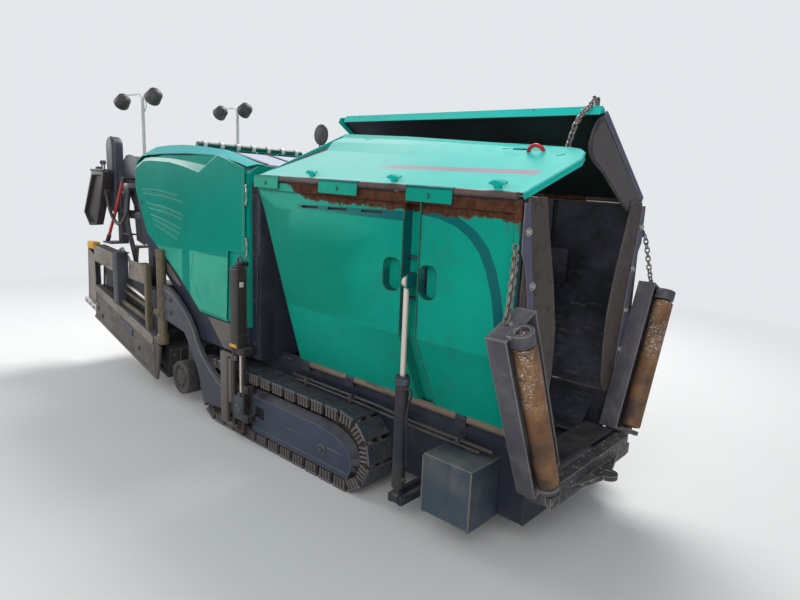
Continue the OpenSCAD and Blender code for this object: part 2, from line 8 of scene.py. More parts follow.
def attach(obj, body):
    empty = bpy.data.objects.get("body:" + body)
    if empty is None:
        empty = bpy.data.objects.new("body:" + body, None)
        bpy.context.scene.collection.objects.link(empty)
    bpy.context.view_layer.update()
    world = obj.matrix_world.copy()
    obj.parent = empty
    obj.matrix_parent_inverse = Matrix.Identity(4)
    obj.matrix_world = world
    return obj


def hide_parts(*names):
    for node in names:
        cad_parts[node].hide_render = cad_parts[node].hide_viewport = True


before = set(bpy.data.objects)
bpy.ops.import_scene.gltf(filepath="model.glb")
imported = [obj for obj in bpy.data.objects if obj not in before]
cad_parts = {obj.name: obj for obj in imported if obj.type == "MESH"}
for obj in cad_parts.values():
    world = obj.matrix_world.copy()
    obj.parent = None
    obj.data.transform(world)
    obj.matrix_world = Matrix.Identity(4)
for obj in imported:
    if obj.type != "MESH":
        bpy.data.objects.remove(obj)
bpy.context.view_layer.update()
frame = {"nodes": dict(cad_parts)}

bl_info = {
    "name": "Compact asphalt paver",
    "version": (1, 0, 0),
    "blender": (4, 5, 0),
    "location": "View3D > Sidebar > Paver",
    "description": "Dresses the paver's frame with finishes and fine parts",
    "category": "Add Mesh",
}

FINISHES = {}


# Settings


def colour(name, words, value):
    return FloatVectorProperty(name=name, description=words, default=value, size=3, min=0, max=1,
                               subtype="COLOR")


def length(name, words, value):
    return FloatProperty(name=name, description=words, default=value, min=0.0, unit="LENGTH",
                         subtype="DISTANCE")


class PaverColours(bpy.types.PropertyGroup):
    """Colours of the finishes."""

    panel: colour("Panel paint", "Teal paint of the wings and the hood", (0.003, 0.262, 0.188))
    frame: colour("Frame paint", "Dark grey paint of the frame", (0.052, 0.056, 0.072))
    box: colour("Box paint", "Blue-grey paint of the ballast boxes", (0.04, 0.058, 0.076))
    rust: colour("Rust", "Rust of rods and rails", (0.085, 0.036, 0.021))
    stripe: colour("Stripe", "Mauve stripe on the right lid", (0.27, 0.13, 0.2))


class PaverSizes(bpy.types.PropertyGroup):
    """Sizes of the fine parts."""

    chain_wire: length("Chain wire", "Thickness of a chain's wire", 0.0085)
    shoes: IntProperty(name="Shoes", description="Number of shoes on a track", default=31, min=20, max=40)


class PaverStage(bpy.types.PropertyGroup):
    """Camera, floor and lamps."""

    lens: FloatProperty(name="Lens", description="Focal length of the camera on a 36 mm sensor",
                        default=26.31)
    floor: colour("Floor", "Colour of the floor", (0.6, 0.595, 0.58))
    key: FloatProperty(name="Key lamp", description="Power of the key lamp in watts", default=850, min=0)
    fill: FloatProperty(name="Fill lamp", description="Power of the fill lamp in watts", default=420, min=0)
    sky: FloatProperty(name="Sky", description="Strength of the world's light", default=0.45, min=0)


# Modelling helpers


def clear():
    """Leave edit mode and deselect everything."""
    if bpy.context.object and bpy.context.object.mode != "OBJECT":
        bpy.ops.object.mode_set(mode="OBJECT")
    bpy.ops.object.select_all(action="DESELECT")


def pick(*pieces):
    """Select pieces, the last one active."""
    clear()
    for piece in pieces:
        piece.select_set(True)
    bpy.context.view_layer.objects.active = pieces[-1]


def settle(piece):
    """Put a piece's place, turn and scale into its mesh."""
    pick(piece)
    bpy.ops.object.transform_apply(location=True, rotation=True, scale=True)
    return piece


def modify(piece, kind, **settings):
    """Add a modifier and apply it."""
    pick(piece)
    modifier = piece.modifiers.new(kind, kind)
    for key, value in settings.items():
        setattr(modifier, key, value)
    bpy.ops.object.modifier_apply(modifier=modifier.name)
    return piece


def soften(piece, width, segments=2):
    """Round the sharp edges of a piece."""
    return modify(piece, "BEVEL", width=width, segments=segments, limit_method="ANGLE",
                  angle_limit=radians(35))


def block(low, high, edge=0.002, segments=2):
    """Box between two corners with rounded edges."""
    clear()
    size = [b - a for a, b in zip(low, high)]
    middle = [(a + b) / 2 for a, b in zip(low, high)]
    bpy.ops.mesh.primitive_cube_add(size=1, location=middle, scale=size)
    piece = settle(bpy.context.object)
    return soften(piece, edge, segments) if edge else piece


def blocks(edge, *boxes):
    """Rounded boxes, each given by its low corner and then its high one."""
    return [block(box[:3], box[3:], edge) for box in boxes]


def rod(start, end, radius, sides=24, edge=0.0):
    """Round bar between two points."""
    clear()
    start, end = Vector(start), Vector(end)
    along = end - start
    bpy.ops.mesh.primitive_cone_add(
        vertices=sides,
        radius1=radius,
        radius2=radius,
        depth=along.length,
        location=(start + end) / 2,
        rotation=along.to_track_quat("Z", "Y").to_euler(),
    )
    piece = settle(bpy.context.object)
    return soften(piece, edge) if edge else piece


def lay(axis, place, point):
    """A point of an outline on a plane square to an axis."""
    a, b = point
    return {"X": (place, a, b), "Y": (a, place, b), "Z": (a, b, place)}[axis]


def plate(points, axis, start, end, edge=0.001, segments=1):
    """Plate with an outline, square to an axis, extruded from start to end."""
    clear()
    bpy.ops.mesh.primitive_circle_add(vertices=len(points), radius=1, fill_type="NGON")
    piece = bpy.context.object
    for vertex, point in zip(piece.data.vertices, points):
        vertex.co = lay(axis, start, point)
    bpy.ops.object.mode_set(mode="EDIT")
    bpy.ops.mesh.select_all(action="SELECT")
    bpy.ops.mesh.extrude_region_move(TRANSFORM_OT_translate={"value": lay(axis, end - start, (0, 0))})
    bpy.ops.mesh.select_all(action="SELECT")
    bpy.ops.mesh.normals_make_consistent(inside=False)
    bpy.ops.object.mode_set(mode="OBJECT")
    return soften(piece, edge, segments) if edge else piece


def hoop(radius, wire, segments, sides):
    """Ring of round bar in the XY plane."""
    clear()
    bpy.ops.mesh.primitive_torus_add(
        major_segments=segments, minor_segments=sides, major_radius=radius, minor_radius=wire
    )
    return settle(bpy.context.object)


def pipe(points, radius, smooth=True, sides=3, steps=8):
    """Round bar or hose along points."""
    clear()
    bpy.ops.curve.primitive_bezier_curve_add()
    piece = bpy.context.object
    piece.data.splines[0].bezier_points.add(len(points) - 2)
    for knot, point in zip(piece.data.splines[0].bezier_points, points):
        knot.co = point
        knot.handle_left_type = knot.handle_right_type = "AUTO" if smooth else "VECTOR"
    piece.data.bevel_depth = radius
    piece.data.bevel_resolution = sides
    piece.data.resolution_u = steps
    piece.data.use_fill_caps = True
    pick(piece)
    bpy.ops.object.convert(target="MESH")
    return bpy.context.object


def strips(first, second):
    """Four-sided polygons between two rows of as many points."""
    return [[a, b, d, c] for a, b, c, d in zip(first, first[1:], second, second[1:])]


def sheets(polygons, push):
    """Bent sheet metal: flat polygons in space, joined along their shared edges and thickened by a push."""
    made = []
    for polygon in polygons:
        clear()
        bpy.ops.mesh.primitive_circle_add(vertices=len(polygon), radius=1, fill_type="NGON")
        made.append(bpy.context.object)
        for vertex, point in zip(made[-1].data.vertices, polygon):
            vertex.co = point
    piece = join(made)
    bpy.ops.object.mode_set(mode="EDIT")
    bpy.ops.mesh.select_all(action="SELECT")
    bpy.ops.mesh.remove_doubles(threshold=0.0004)
    bpy.ops.mesh.extrude_region_move(TRANSFORM_OT_translate={"value": push})
    bpy.ops.mesh.select_all(action="SELECT")
    bpy.ops.mesh.normals_make_consistent(inside=False)
    bpy.ops.object.mode_set(mode="OBJECT")
    return piece


def rounded(low, high, radius, steps=5):
    """Outline of a rectangle with round corners."""
    points = []
    corners = ((high[0], high[1], 0), (low[0], high[1], 90), (low[0], low[1], 180), (high[0], low[1], 270))
    for a, b, start in corners:
        a -= radius if a == high[0] else -radius
        b -= radius if b == high[1] else -radius
        for step in range(steps + 1):
            angle = radians(start + 90 * step / steps)
            points.append((a + radius * cos(angle), b + radius * sin(angle)))
    return points


def lathe(profile, centre, sides=32, axis="Z"):
    """Turned part: a profile of (radius, along) points spun about an axis through a centre."""
    clear()
    bpy.ops.mesh.primitive_circle_add(vertices=len(profile), radius=1, fill_type="NOTHING")
    piece = bpy.context.object
    for vertex, (radius, along) in zip(piece.data.vertices, profile):
        vertex.co = (radius, 0, along)
    bpy.ops.object.mode_set(mode="EDIT")
    bpy.ops.mesh.select_all(action="SELECT")
    bpy.ops.mesh.spin(steps=sides, angle=tau, center=(0, 0, 0), axis=(0, 0, 1))
    bpy.ops.mesh.select_all(action="SELECT")
    bpy.ops.mesh.remove_doubles(threshold=0.00005)
    bpy.ops.mesh.normals_make_consistent(inside=False)
    bpy.ops.object.mode_set(mode="OBJECT")
    way = {"X": (1, 0, 0), "Y": (0, 1, 0), "Z": (0, 0, 1)}[axis]
    return put(piece, aimed(centre, way))


def join(pieces):
    """One piece of several."""
    pick(*pieces)
    bpy.ops.object.join()
    return bpy.context.object


def aimed(point, way):
    """Matrix that turns +Z to a direction and moves the origin to a point."""
    return Matrix.Translation(point) @ Vector(way).to_track_quat("Z", "Y").to_matrix().to_4x4()


def put(piece, matrix):
    """Move a piece's mesh by a matrix, with its faces outwards also where that mirrors it."""
    piece.data.transform(matrix)
    if matrix.determinant() < 0:
        piece.data.flip_normals()
    return piece


def moved(piece, matrix):
    """Copy of a piece with its own mesh, moved by a matrix."""
    copy = piece.copy()
    copy.data = piece.data.copy()
    bpy.context.collection.objects.link(copy)
    return put(copy, matrix)


def repeat(piece, matrices):
    """Copies of a piece, joined; the pattern itself goes."""
    copies = [moved(piece, matrix) for matrix in matrices]
    bpy.data.objects.remove(piece)
    return join(copies)


def cut(piece, *tools):
    """Take the shapes of the tools out of a piece."""
    for tool in tools:
        modify(piece, "BOOLEAN", operation="DIFFERENCE", object=tool, solver="EXACT")
        bpy.data.objects.remove(tool)
    return piece


def finish(piece, name, material, body, stands_for=(), angle=32):
    """Name a piece, or the join of several, give it its material and let it ride on its body."""
    piece = settle(join(piece) if isinstance(piece, list) else piece)
    piece.name = piece.data.name = name
    bpy.ops.object.shade_smooth_by_angle(angle=radians(angle))
    piece.data.materials.clear()
    piece.data.materials.append(FINISHES[material])
    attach(piece, body)
    if stands_for:
        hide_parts(*stands_for)
    return piece


FLIP = Matrix.Scale(-1, 4, (0, 1, 0))


def both_sides(piece, name, material, body, stands_for=(), angle=32):
    """Finish a right-hand piece and its mirrored twin; {} in the names takes the side."""
    piece = join(piece) if isinstance(piece, list) else piece
    for made, side in ((piece, "right"), (moved(piece, FLIP), "left")):
        nodes = [node.format(side) for node in stands_for]
        finish(made, name.format(side), material, body.format(side), nodes, angle)


def turn(degrees, axis, centre):
    """Rotation about an axis through a point."""
    centre = Vector(centre)
    turn = Matrix.Rotation(radians(degrees), 4, axis)
    return Matrix.Translation(centre) @ turn @ Matrix.Translation(-centre)


# The hinge line between wing and lid passes through this point and falls towards the front.
HINGE = (1.28, 0, 1.69)
HINGE_FALL = turn(1.5, "Y", HINGE)


def bolt_pattern(width):
    """Hexagon bolt on a washer, standing on its origin towards +Z."""
    head = rod((0, 0, width * 0.1), (0, 0, width * 0.42), width / 2, sides=6, edge=width * 0.05)
    washer = rod((0, 0, 0), (0, 0, width * 0.12), width * 0.66, sides=16, edge=width * 0.03)
    return join([head, washer])


def bolts(width, places):
    """Bolts at (point, direction) pairs, joined."""
    return repeat(bolt_pattern(width), [aimed(point, way) for point, way in places])


def chain(points, wire, length_of_link):
    """Chain of oval links along points; neighbouring links stand a quarter turn apart."""
    link = hoop(wire * 1.35, wire / 2, 16, 6)
    half = length_of_link / 2 - wire * 1.85
    middle = 1e-6
    for vertex in link.data.vertices:
        vertex.co.x += half if vertex.co.x > middle else -half if vertex.co.x < -middle else 0
    line = [Vector(p) for p in points]
    pitch = length_of_link - wire * 2
    places, carried = [], pitch / 2
    for a, b in zip(line, line[1:]):
        span = (b - a).length
        while carried < span:
            way = (b - a).normalized()
            spin = Matrix.Rotation(radians(90 * (len(places) % 2) + 20), 4, "X")
            aim = way.to_track_quat("X", "Z").to_matrix().to_4x4()
            places.append(Matrix.Translation(a + way * carried) @ aim @ spin)
            carried += pitch
        carried -= span
    return repeat(link, places)


# Materials


class Out:
    """An output of a material's nodes that can be used in sums."""

    def __init__(self, shade, socket):
        self.shade, self.socket = shade, socket

    def maths(self, operation, *values):
        return self.shade.node("ShaderNodeMath", {"operation": operation}, values)

    def __add__(self, other):
        return self.maths("ADD", self, other)

    def __sub__(self, other):
        return self.maths("SUBTRACT", self, other)

    def __mul__(self, other):
        return self.maths("MULTIPLY", self, other)

    def __truediv__(self, other):
        return self.maths("DIVIDE", self, other)

    def __rsub__(self, other):
        return self.maths("SUBTRACT", other, self)

    def __abs__(self):
        return self.maths("ABSOLUTE", self)

    __radd__ = __add__
    __rmul__ = __mul__


def top_of(a, b):
    return a.maths("MAXIMUM", a, b)


class Shade:
    """A material being made."""

    def __init__(self, name, **uniform):
        self.material = bpy.data.materials.new(name)
        self.material.use_nodes = True
        self.tree = self.material.node_tree
        self.surface = self.tree.nodes["Principled BSDF"]
        for key, value in uniform.items():
            self.surface.inputs[key.replace("_", " ").title().replace("Ior", "IOR")].default_value = value
        self.place = self.node("ShaderNodeTexCoord", output=3)
        self.x, self.y, self.z = self.split(self.place)
        self.turned = self.split(self.node("ShaderNodeNewGeometry", output=1))
        self.up = self.turned[2]
        FINISHES[name] = self.material

    def node(self, kind, settings=None, values=(), output=0):
        made = self.tree.nodes.new(kind)
        for key, value in (settings or {}).items():
            setattr(made, key, value)
        for key, value in values.items() if isinstance(values, dict) else enumerate(values):
            if isinstance(value, Out):
                self.tree.links.new(value.socket, made.inputs[key])
            else:
                made.inputs[key].default_value = value
        return Out(self, made.outputs[output])

    def split(self, vector):
        first = self.node("ShaderNodeSeparateXYZ", values=[vector])
        return [Out(self, socket) for socket in first.socket.node.outputs]

    def noise(self, scale, detail=4.0, rough=0.55, stretch=None):
        where = self.place
        if stretch:
            where = self.node("ShaderNodeVectorMath", {"operation": "MULTIPLY"}, [where, stretch])
        values = {"Vector": where, "Scale": scale, "Detail": detail, "Roughness": rough}
        return self.node("ShaderNodeTexNoise", None, values)

    def ramp(self, value, low, high):
        """0 at low, 1 at high and even between."""
        return self.node("ShaderNodeMapRange", {"clamp": True}, [value, low, high, 0.0, 1.0])

    def mix(self, first, second, share):
        values = {0: share}
        for key, shade in ((6, first), (7, second)):
            values[key] = shade if isinstance(shade, Out) else (*shade[:3], 1.0)
        return self.node("ShaderNodeMix", {"data_type": "RGBA"}, values, output=2)

    def edges(self, radius):
        """1 on the edges of a form and 0 on its flats."""
        rounded = self.node("ShaderNodeBevel", {"samples": 4}, {"Radius": radius})
        true = self.node("ShaderNodeNewGeometry", output=1)
        dot = self.node("ShaderNodeVectorMath", {"operation": "DOT_PRODUCT"}, [rounded, true], output=1)
        return self.ramp(dot, 0.995, 0.9)

    def done(self, base, roughness, height, depth=0.001, metallic=None):
        """Link the varying values to the surface."""
        bump = self.node("ShaderNodeBump", None, {"Strength": 0.6, "Distance": depth, "Height": height})
        links = {"Base Color": base, "Roughness": roughness, "Normal": bump, "Metallic": metallic}
        for key, value in links.items():
            if isinstance(value, Out):
                self.tree.links.new(value.socket, self.surface.inputs[key])
            elif value is not None:
                self.surface.inputs[key].default_value = value
        return self.material


def darker(value, share):
    return tuple(v * share for v in value)


def worn_paint(name, value, under, wear=0.5, dirt=0.35, gloss=0.34, dust=0.25, spots_from=0.735):
    """Paint with faded fields, fine scratches, chipped edges and dust on what faces up."""
    s = Shade(name, specular_ior_level=0.25)
    fade = s.ramp(s.noise(1.1, 3), 0.3, 0.75)
    base = s.mix(value, darker(value, 0.72), fade)
    grime = s.ramp(s.noise(5.0, 8, 0.68), 0.48, 0.78)
    base = s.mix(base, darker(under, 0.8), grime * dirt)
    streak = s.ramp(s.noise(9.0, 4, 0.6, (1, 1, 0.09)), 0.58, 0.74)
    base = s.mix(base, darker(value, 0.45), streak * dirt)
    chip = s.ramp(s.edges(0.006) + s.noise(34.0, 6, 0.7) * 1.1, 1.12, 1.3) * wear
    spots = s.ramp(s.noise(55.0, 3, 0.7), spots_from, spots_from + 0.025) * wear
    bare = top_of(chip, spots)
    base = s.mix(base, under, bare)
    upward_tint = s.ramp(s.up, 0.35, 0.95) * s.ramp(s.noise(3.2, 7, 0.7), 0.35, 0.7) * dust
    base = s.mix(base, (0.30, 0.29, 0.27), upward_tint)
    rough = gloss + s.noise(14.0, 5, 0.6) * 0.16 + bare * 0.3 + upward_tint * 0.4
    height = s.noise(90.0, 4, 0.5) * 0.12 - bare * 0.7
    return s.done(base, rough, height, 0.0008)


def steel(name, value, rust, share=0.4, gloss=0.42, metallic=0.55):
    """Bare or greasy steel with rust fields and scratches."""
    s = Shade(name)
    field = s.ramp(s.noise(4.5, 9, 0.7), 0.62 - share * 0.35, 0.78 - share * 0.2)
    scratch = s.ramp(s.noise(26.0, 5, 0.6, (0.25, 1, 1)), 0.56, 0.66)
    edge = s.edges(0.005)
    base = s.mix(value, darker(value, 0.45), scratch)
    base = s.mix(base, rust, field * 0.85)
    base = s.mix(base, (0.22, 0.21, 0.20), edge * 0.45)
    rough = gloss + field * 0.35 + s.noise(40.0, 4) * 0.15
    height = s.noise(60.0, 7, 0.65) * 0.5 - scratch * 0.25 + field * 0.2
    return s.done(base, rough, height, 0.0012, (1 - field) * metallic)


def hopper_steel():
    """Inside of the hopper: dark film, worn bright below, with pale specks of asphalt."""
    s = Shade("hopper_steel")
    film = s.noise(2.2, 7, 0.65)
    base = s.mix((0.012, 0.013, 0.021), (0.055, 0.056, 0.075), s.ramp(film, 0.4, 0.65))
    scratch = s.ramp(s.noise(18.0, 5, 0.7, (0.5, 0.5, 1.8)), 0.55, 0.66) * s.ramp(s.z, 1.45, 0.9)
    base = s.mix(base, (0.11, 0.11, 0.135), scratch * 0.7)
    specks = s.ramp(s.noise(70.0, 4, 0.8), 0.66, 0.7) * s.ramp(s.noise(4.0, 3), 0.45, 0.6)
    base = s.mix(base, (0.003, 0.003, 0.004), specks)
    rough = 0.42 + film * 0.3
    return s.done(base, rough, s.noise(45.0, 8, 0.7) + scratch * 0.3, 0.002, 0.35)


def wing_paint(panel, rust):
    """Panel paint with peeled paint over rust along the top rail."""
    s = Shade("wing_paint", specular_ior_level=0.04)
    out = abs(s.y)
    line = s.z + (s.x - 1.28) * 0.0262 - 1.69
    fade = s.ramp(s.noise(1.1, 3), 0.3, 0.75)
    green = s.mix(panel, darker(panel, 0.74), fade)
    grime = s.ramp(s.noise(7.0, 8, 0.7), 0.5, 0.75)
    green = s.mix(green, (0.02, 0.045, 0.04), grime * 0.3)
    flecks = s.ramp(s.noise(38.0, 4, 0.75, (1, 1, 0.45)), 0.69, 0.71) * s.ramp(s.noise(2.6, 2), 0.5, 0.62)
    green = s.mix(green, (0.012, 0.02, 0.022), flecks)
    ragged = line + s.noise(13.0, 7, 0.7) * 0.09 + s.ramp(s.x, 0.5, 1.1) * 0.02
    ragged = ragged - s.ramp(s.x + s.noise(9.0, 5, 0.7) * 0.3, 0.98, 0.8) * 0.09
    run = s.ramp(s.x, 2.1, 2.165) * s.ramp(s.noise(25.0, 4, 0.6, (1, 1, 0.1)), 0.45, 0.6)
    run = run * s.ramp(line, -0.2, -0.1)
    flat = s.ramp(out, 0.6475, 0.6455)
    edge = top_of(s.ramp(ragged, -0.045, -0.035), run) * flat
    # Painted shade: the pressing's band and strip facets that turn upwards are darkened to a deep teal.
    shaded_band = s.ramp(abs(s.turned[1]), 0.985, 0.955) * s.ramp(s.up, -0.1, 0)
    green = s.mix(green, (0.002, 0.075, 0.085), shaded_band * s.ramp(s.z, 0.98, 1.02) * 0.9)
    # Sky on the rear of the panel and shade on the facets that turn to the rear.
    haze = s.ramp(s.x, 1.5, 0.4) * s.ramp(s.z, 1.0, 1.4) * s.ramp(s.up, -0.02, -0.005) * 0.8
    green = s.mix(green, (0.07, 0.33, 0.225), haze * s.ramp(s.noise(1.3, 4), 0.2, 0.7) * 0.75)
    back = s.ramp(s.turned[0], -0.02, -0.045) * s.ramp(s.z, 0.97, 0.99)
    green = s.mix(green, (0.001, 0.17, 0.115), back * 0.85)
    spot = s.ramp(s.noise(46.0, 3, 0.7, (1, 1, 0.4)), 0.66, 0.69)
    spot = spot * s.ramp(abs(s.x - 0.98) + abs(s.z - 1.3), 0.3, 0.12)
    green = s.mix(green, (0.006, 0.03, 0.026), spot)
    chip = s.ramp(s.edges(0.006) + s.noise(34.0, 6, 0.7) * 1.1, 1.15, 1.3)
    bare = top_of(edge, chip * 0.8)
    old = s.mix(rust, darker(rust, 0.4), s.ramp(s.noise(30.0, 6, 0.7), 0.35, 0.65))
    base = s.mix(green, old, bare)
    rough = 0.34 + s.noise(14.0, 5) * 0.16 + bare * 0.35
    return s.done(base, rough, s.noise(80.0, 5) * 0.15 + s.noise(30.0, 6, 0.7) * bare * 0.8, 0.0012)


def lid_paint(stripe):
    """Teal paint of the lids, lighter than the wings' paint as painted sunlight, with its dust and a painted
    sunlit paling towards the rear on upward faces, a mauve stripe on the right lid and wear along the rims.
    """
    s = Shade("lid_paint", specular_ior_level=0.08)
    fade = s.ramp(s.noise(0.9, 3), 0.3, 0.75)
    # Painted sunlight: this teal is lighter than the wings' panel paint, the same paint seen in the sun.
    base = s.mix((0.004, 0.46, 0.4), (0.004, 0.38, 0.32), fade)
    # Distance from the right lid's hinge along its slope.
    across = (s.y + 0.64) / cos(radians(29))
    soft = s.noise(20.0, 4, 0.6) * 0.006
    band = s.ramp(across + soft, 0.17, 0.178) * s.ramp(across + soft, 0.222, 0.214) * s.ramp(s.y, -0.3, -0.31)
    band = band * s.ramp(s.x + soft * 4, 1.22, 1.34) * s.ramp(s.x + soft * 4, 2.19, 2.165)
    base = s.mix(base, stripe, band * 0.8)
    # Dust in patches, and painted sunlight that pales the upward faces more towards the rear.
    upward_tint = s.ramp(s.up, 0.45, 0.9) * (s.ramp(s.noise(2.4, 6, 0.7), 0.35, 0.7) * 0.12
                                       + s.ramp(s.x, 1.95, 1.2) * 0.42)
    base = s.mix(base, (0.5, 0.62, 0.57), upward_tint)
    grime = s.ramp(s.noise(26.0, 6, 0.72), 0.6, 0.7) * s.ramp(s.noise(3.0, 3), 0.45, 0.65)
    base = s.mix(base, (0.05, 0.1, 0.09), grime * 0.25)
    chip = s.ramp(s.edges(0.005) + s.noise(40.0, 6, 0.7) * 1.1, 1.15, 1.3)
    base = s.mix(base, (0.2, 0.35, 0.31), chip * 0.6)
    rough = 0.5 + s.noise(14.0, 5) * 0.16 + upward_tint * 0.4
    return s.done(base, rough, s.noise(60.0, 4) * 0.15 + grime * 0.2, 0.0008)


def lid_underside():
    """Near-black film under the lids with a green cast towards the front."""
    s = Shade("lid_underside")
    film = s.noise(3.0, 7, 0.65)
    base = s.mix((0.004, 0.004, 0.008), (0.003, 0.022, 0.016), s.ramp(film + s.x * 0.4, 0.9, 1.4))
    base = s.mix(base, (0.02, 0.02, 0.024), s.ramp(s.noise(30.0, 6, 0.7), 0.6, 0.7))
    return s.done(base, 0.5 + film * 0.3, s.noise(70.0, 6, 0.7), 0.001)


def roller_rust():
    """Rolled steel: brown rust, a dark film and pale scratches across."""
    s = Shade("roller_rust")
    field = s.noise(7.0, 8, 0.7)
    base = s.mix((0.25, 0.125, 0.05), (0.1, 0.05, 0.03), s.ramp(field, 0.38, 0.68))
    film = s.ramp(s.noise(3.0, 4, 0.6), 0.48, 0.62)
    base = s.mix(base, (0.035, 0.028, 0.026), film * 0.8)
    marks = s.ramp(s.noise(110.0, 3, 0.8, (0.8, 0.8, 1.8)), 0.56, 0.6) * s.ramp(s.noise(5.5, 3), 0.46, 0.52)
    marks = marks * s.ramp(s.z + s.noise(9.0, 3) * 0.1, 0.84, 0.9)
    base = s.mix(base, (0.62, 0.56, 0.47), marks)
    return s.done(base, 0.55 + field * 0.3, field + s.noise(90.0, 5, 0.7) * 0.5 + marks * 0.3, 0.0014, 0.25)


def make_finishes(tint):
    """All materials of the machine."""
    panel, grey, box, rust = tuple(tint.panel), tuple(tint.frame), tuple(tint.box), tuple(tint.rust)
    worn_paint("panel_paint", panel, (0.02, 0.03, 0.03), wear=0.5, dirt=0.22)
    wing_paint(panel, rust)
    worn_paint("frame_paint", grey, (0.16, 0.15, 0.145), wear=0.5, dirt=0.4, gloss=0.4)
    worn_paint("box_paint", box, (0.24, 0.20, 0.15), wear=0.9, dirt=0.4, gloss=0.42)
    worn_paint("black_paint", (0.018, 0.018, 0.021), (0.13, 0.12, 0.11), wear=0.8, dirt=0.5, gloss=0.45)
    worn_paint("bar_paint", (0.035, 0.034, 0.038), (0.3, 0.27, 0.23), wear=0.9, dirt=0.4, gloss=0.45,
               spots_from=0.6)
    worn_paint("dark_green", (0.004, 0.075, 0.05), (0.05, 0.05, 0.04), wear=0.4, dirt=0.3)
    worn_paint("yellow_paint", (0.74, 0.36, 0.015), (0.2, 0.14, 0.06), wear=0.4, dirt=0.3)
    worn_paint("roof_sheet", (0.42, 0.44, 0.56), (0.25, 0.25, 0.27), wear=0.25, dirt=0.3, gloss=0.3)
    worn_paint("pale_paint", (0.50, 0.50, 0.48), (0.2, 0.19, 0.17), wear=0.4, dirt=0.3)
    worn_paint("red_paint", (0.45, 0.02, 0.03), (0.1, 0.03, 0.03), wear=0.3, dirt=0.3)
    steel("track_steel", (0.05, 0.058, 0.072), (0.055, 0.045, 0.04), share=0.3, gloss=0.45, metallic=0.3)
    steel("link_steel", (0.085, 0.07, 0.06), (0.045, 0.036, 0.034), share=0.45, gloss=0.55, metallic=0.2)
    steel("dirty_steel", (0.06, 0.055, 0.05), (0.075, 0.05, 0.034), share=0.5, gloss=0.5, metallic=0.4)
    steel("screed_steel", (0.045, 0.043, 0.042), (0.10, 0.062, 0.04), share=0.35, gloss=0.45, metallic=0.5)
    steel("brown_steel", (0.15, 0.12, 0.085), (0.09, 0.055, 0.032), share=0.55, gloss=0.45, metallic=0.4)
    steel("brown_plate", (0.058, 0.043, 0.036), (0.03, 0.022, 0.02), share=0.3, gloss=0.55, metallic=0.1)
    steel("zinc", (0.42, 0.41, 0.39), (0.2, 0.13, 0.08), share=0.25, gloss=0.34, metallic=0.8)
    piston_rod()
    hopper_steel()
    lid_paint(tuple(tint.stripe))
    lid_underside()
    roller_rust()
    worn_paint("blue_grey", (0.085, 0.088, 0.135), (0.2, 0.19, 0.18), wear=0.8, dirt=0.35, gloss=0.4)
    worn_paint("grey_plate", (0.085, 0.075, 0.074), (0.12, 0.11, 0.1), wear=0.3, dirt=0.5, gloss=0.5,
               dust=0.1)
    worn_paint("bracket_paint", (0.07, 0.066, 0.08), (0.3, 0.27, 0.24), wear=1.0, dirt=0.45, gloss=0.38)
    door_paint()
    worn_paint("cover_paint", (0.042, 0.055, 0.085), (0.13, 0.13, 0.14), wear=0.8, dirt=0.3, gloss=0.38)
    worn_paint("barrel_paint", (0.02, 0.024, 0.035), (0.12, 0.07, 0.045), wear=0.9, dirt=0.5, gloss=0.36)
    worn_paint("brown_black", (0.036, 0.03, 0.03), (0.1, 0.08, 0.07), wear=0.6, dirt=0.4, gloss=0.34)
    worn_paint("post_paint", (0.13, 0.115, 0.105), (0.07, 0.05, 0.04), wear=0.8, dirt=0.5, gloss=0.42)
    steel("pipe_steel", (0.045, 0.043, 0.045), (0.06, 0.035, 0.028), share=0.45, gloss=0.36, metallic=0.4)
    worn_paint("grey_cover", (0.045, 0.05, 0.068), (0.2, 0.2, 0.2), wear=0.5, dirt=0.3, gloss=0.36)
    worn_paint("bulkhead_paint", (0.018, 0.022, 0.036), (0.1, 0.09, 0.08), wear=0.5, dirt=0.35, gloss=0.42)
    steel("pale_brown", (0.2, 0.175, 0.145), (0.11, 0.085, 0.06), share=0.4, gloss=0.5, metallic=0.15)
    steel("brown_plate_pale", (0.105, 0.09, 0.078), (0.06, 0.045, 0.035), share=0.45, gloss=0.5,
          metallic=0.15)
    steel("brown_tube", (0.13, 0.105, 0.062), (0.075, 0.052, 0.03), share=0.5, gloss=0.45, metallic=0.2)
    steel("drum_steel", (0.035, 0.034, 0.036), (0.09, 0.07, 0.052), share=0.45, gloss=0.5, metallic=0.3)
    hood_paint(panel)
    mirror_face()
    steel("old_chain", (0.2, 0.185, 0.165), (0.1, 0.06, 0.04), share=0.4, gloss=0.4, metallic=0.7)
    steel("rusty_tube", (0.09, 0.06, 0.05), (0.045, 0.025, 0.02), share=0.6, gloss=0.5, metallic=0.2)
    rubber("rubber", (0.012, 0.012, 0.014))
    rubber("red_hose", (0.42, 0.018, 0.015))
    lens_glass()


def mirror_face():
    """Mirror glass with a film of dust."""
    s = Shade("mirror_glass")
    dust = s.noise(14.0, 5, 0.6)
    return s.done(s.mix((0.75, 0.77, 0.8), (0.6, 0.6, 0.58), dust), 0.04 + dust * 0.08, dust, 0.0001, 0.95)


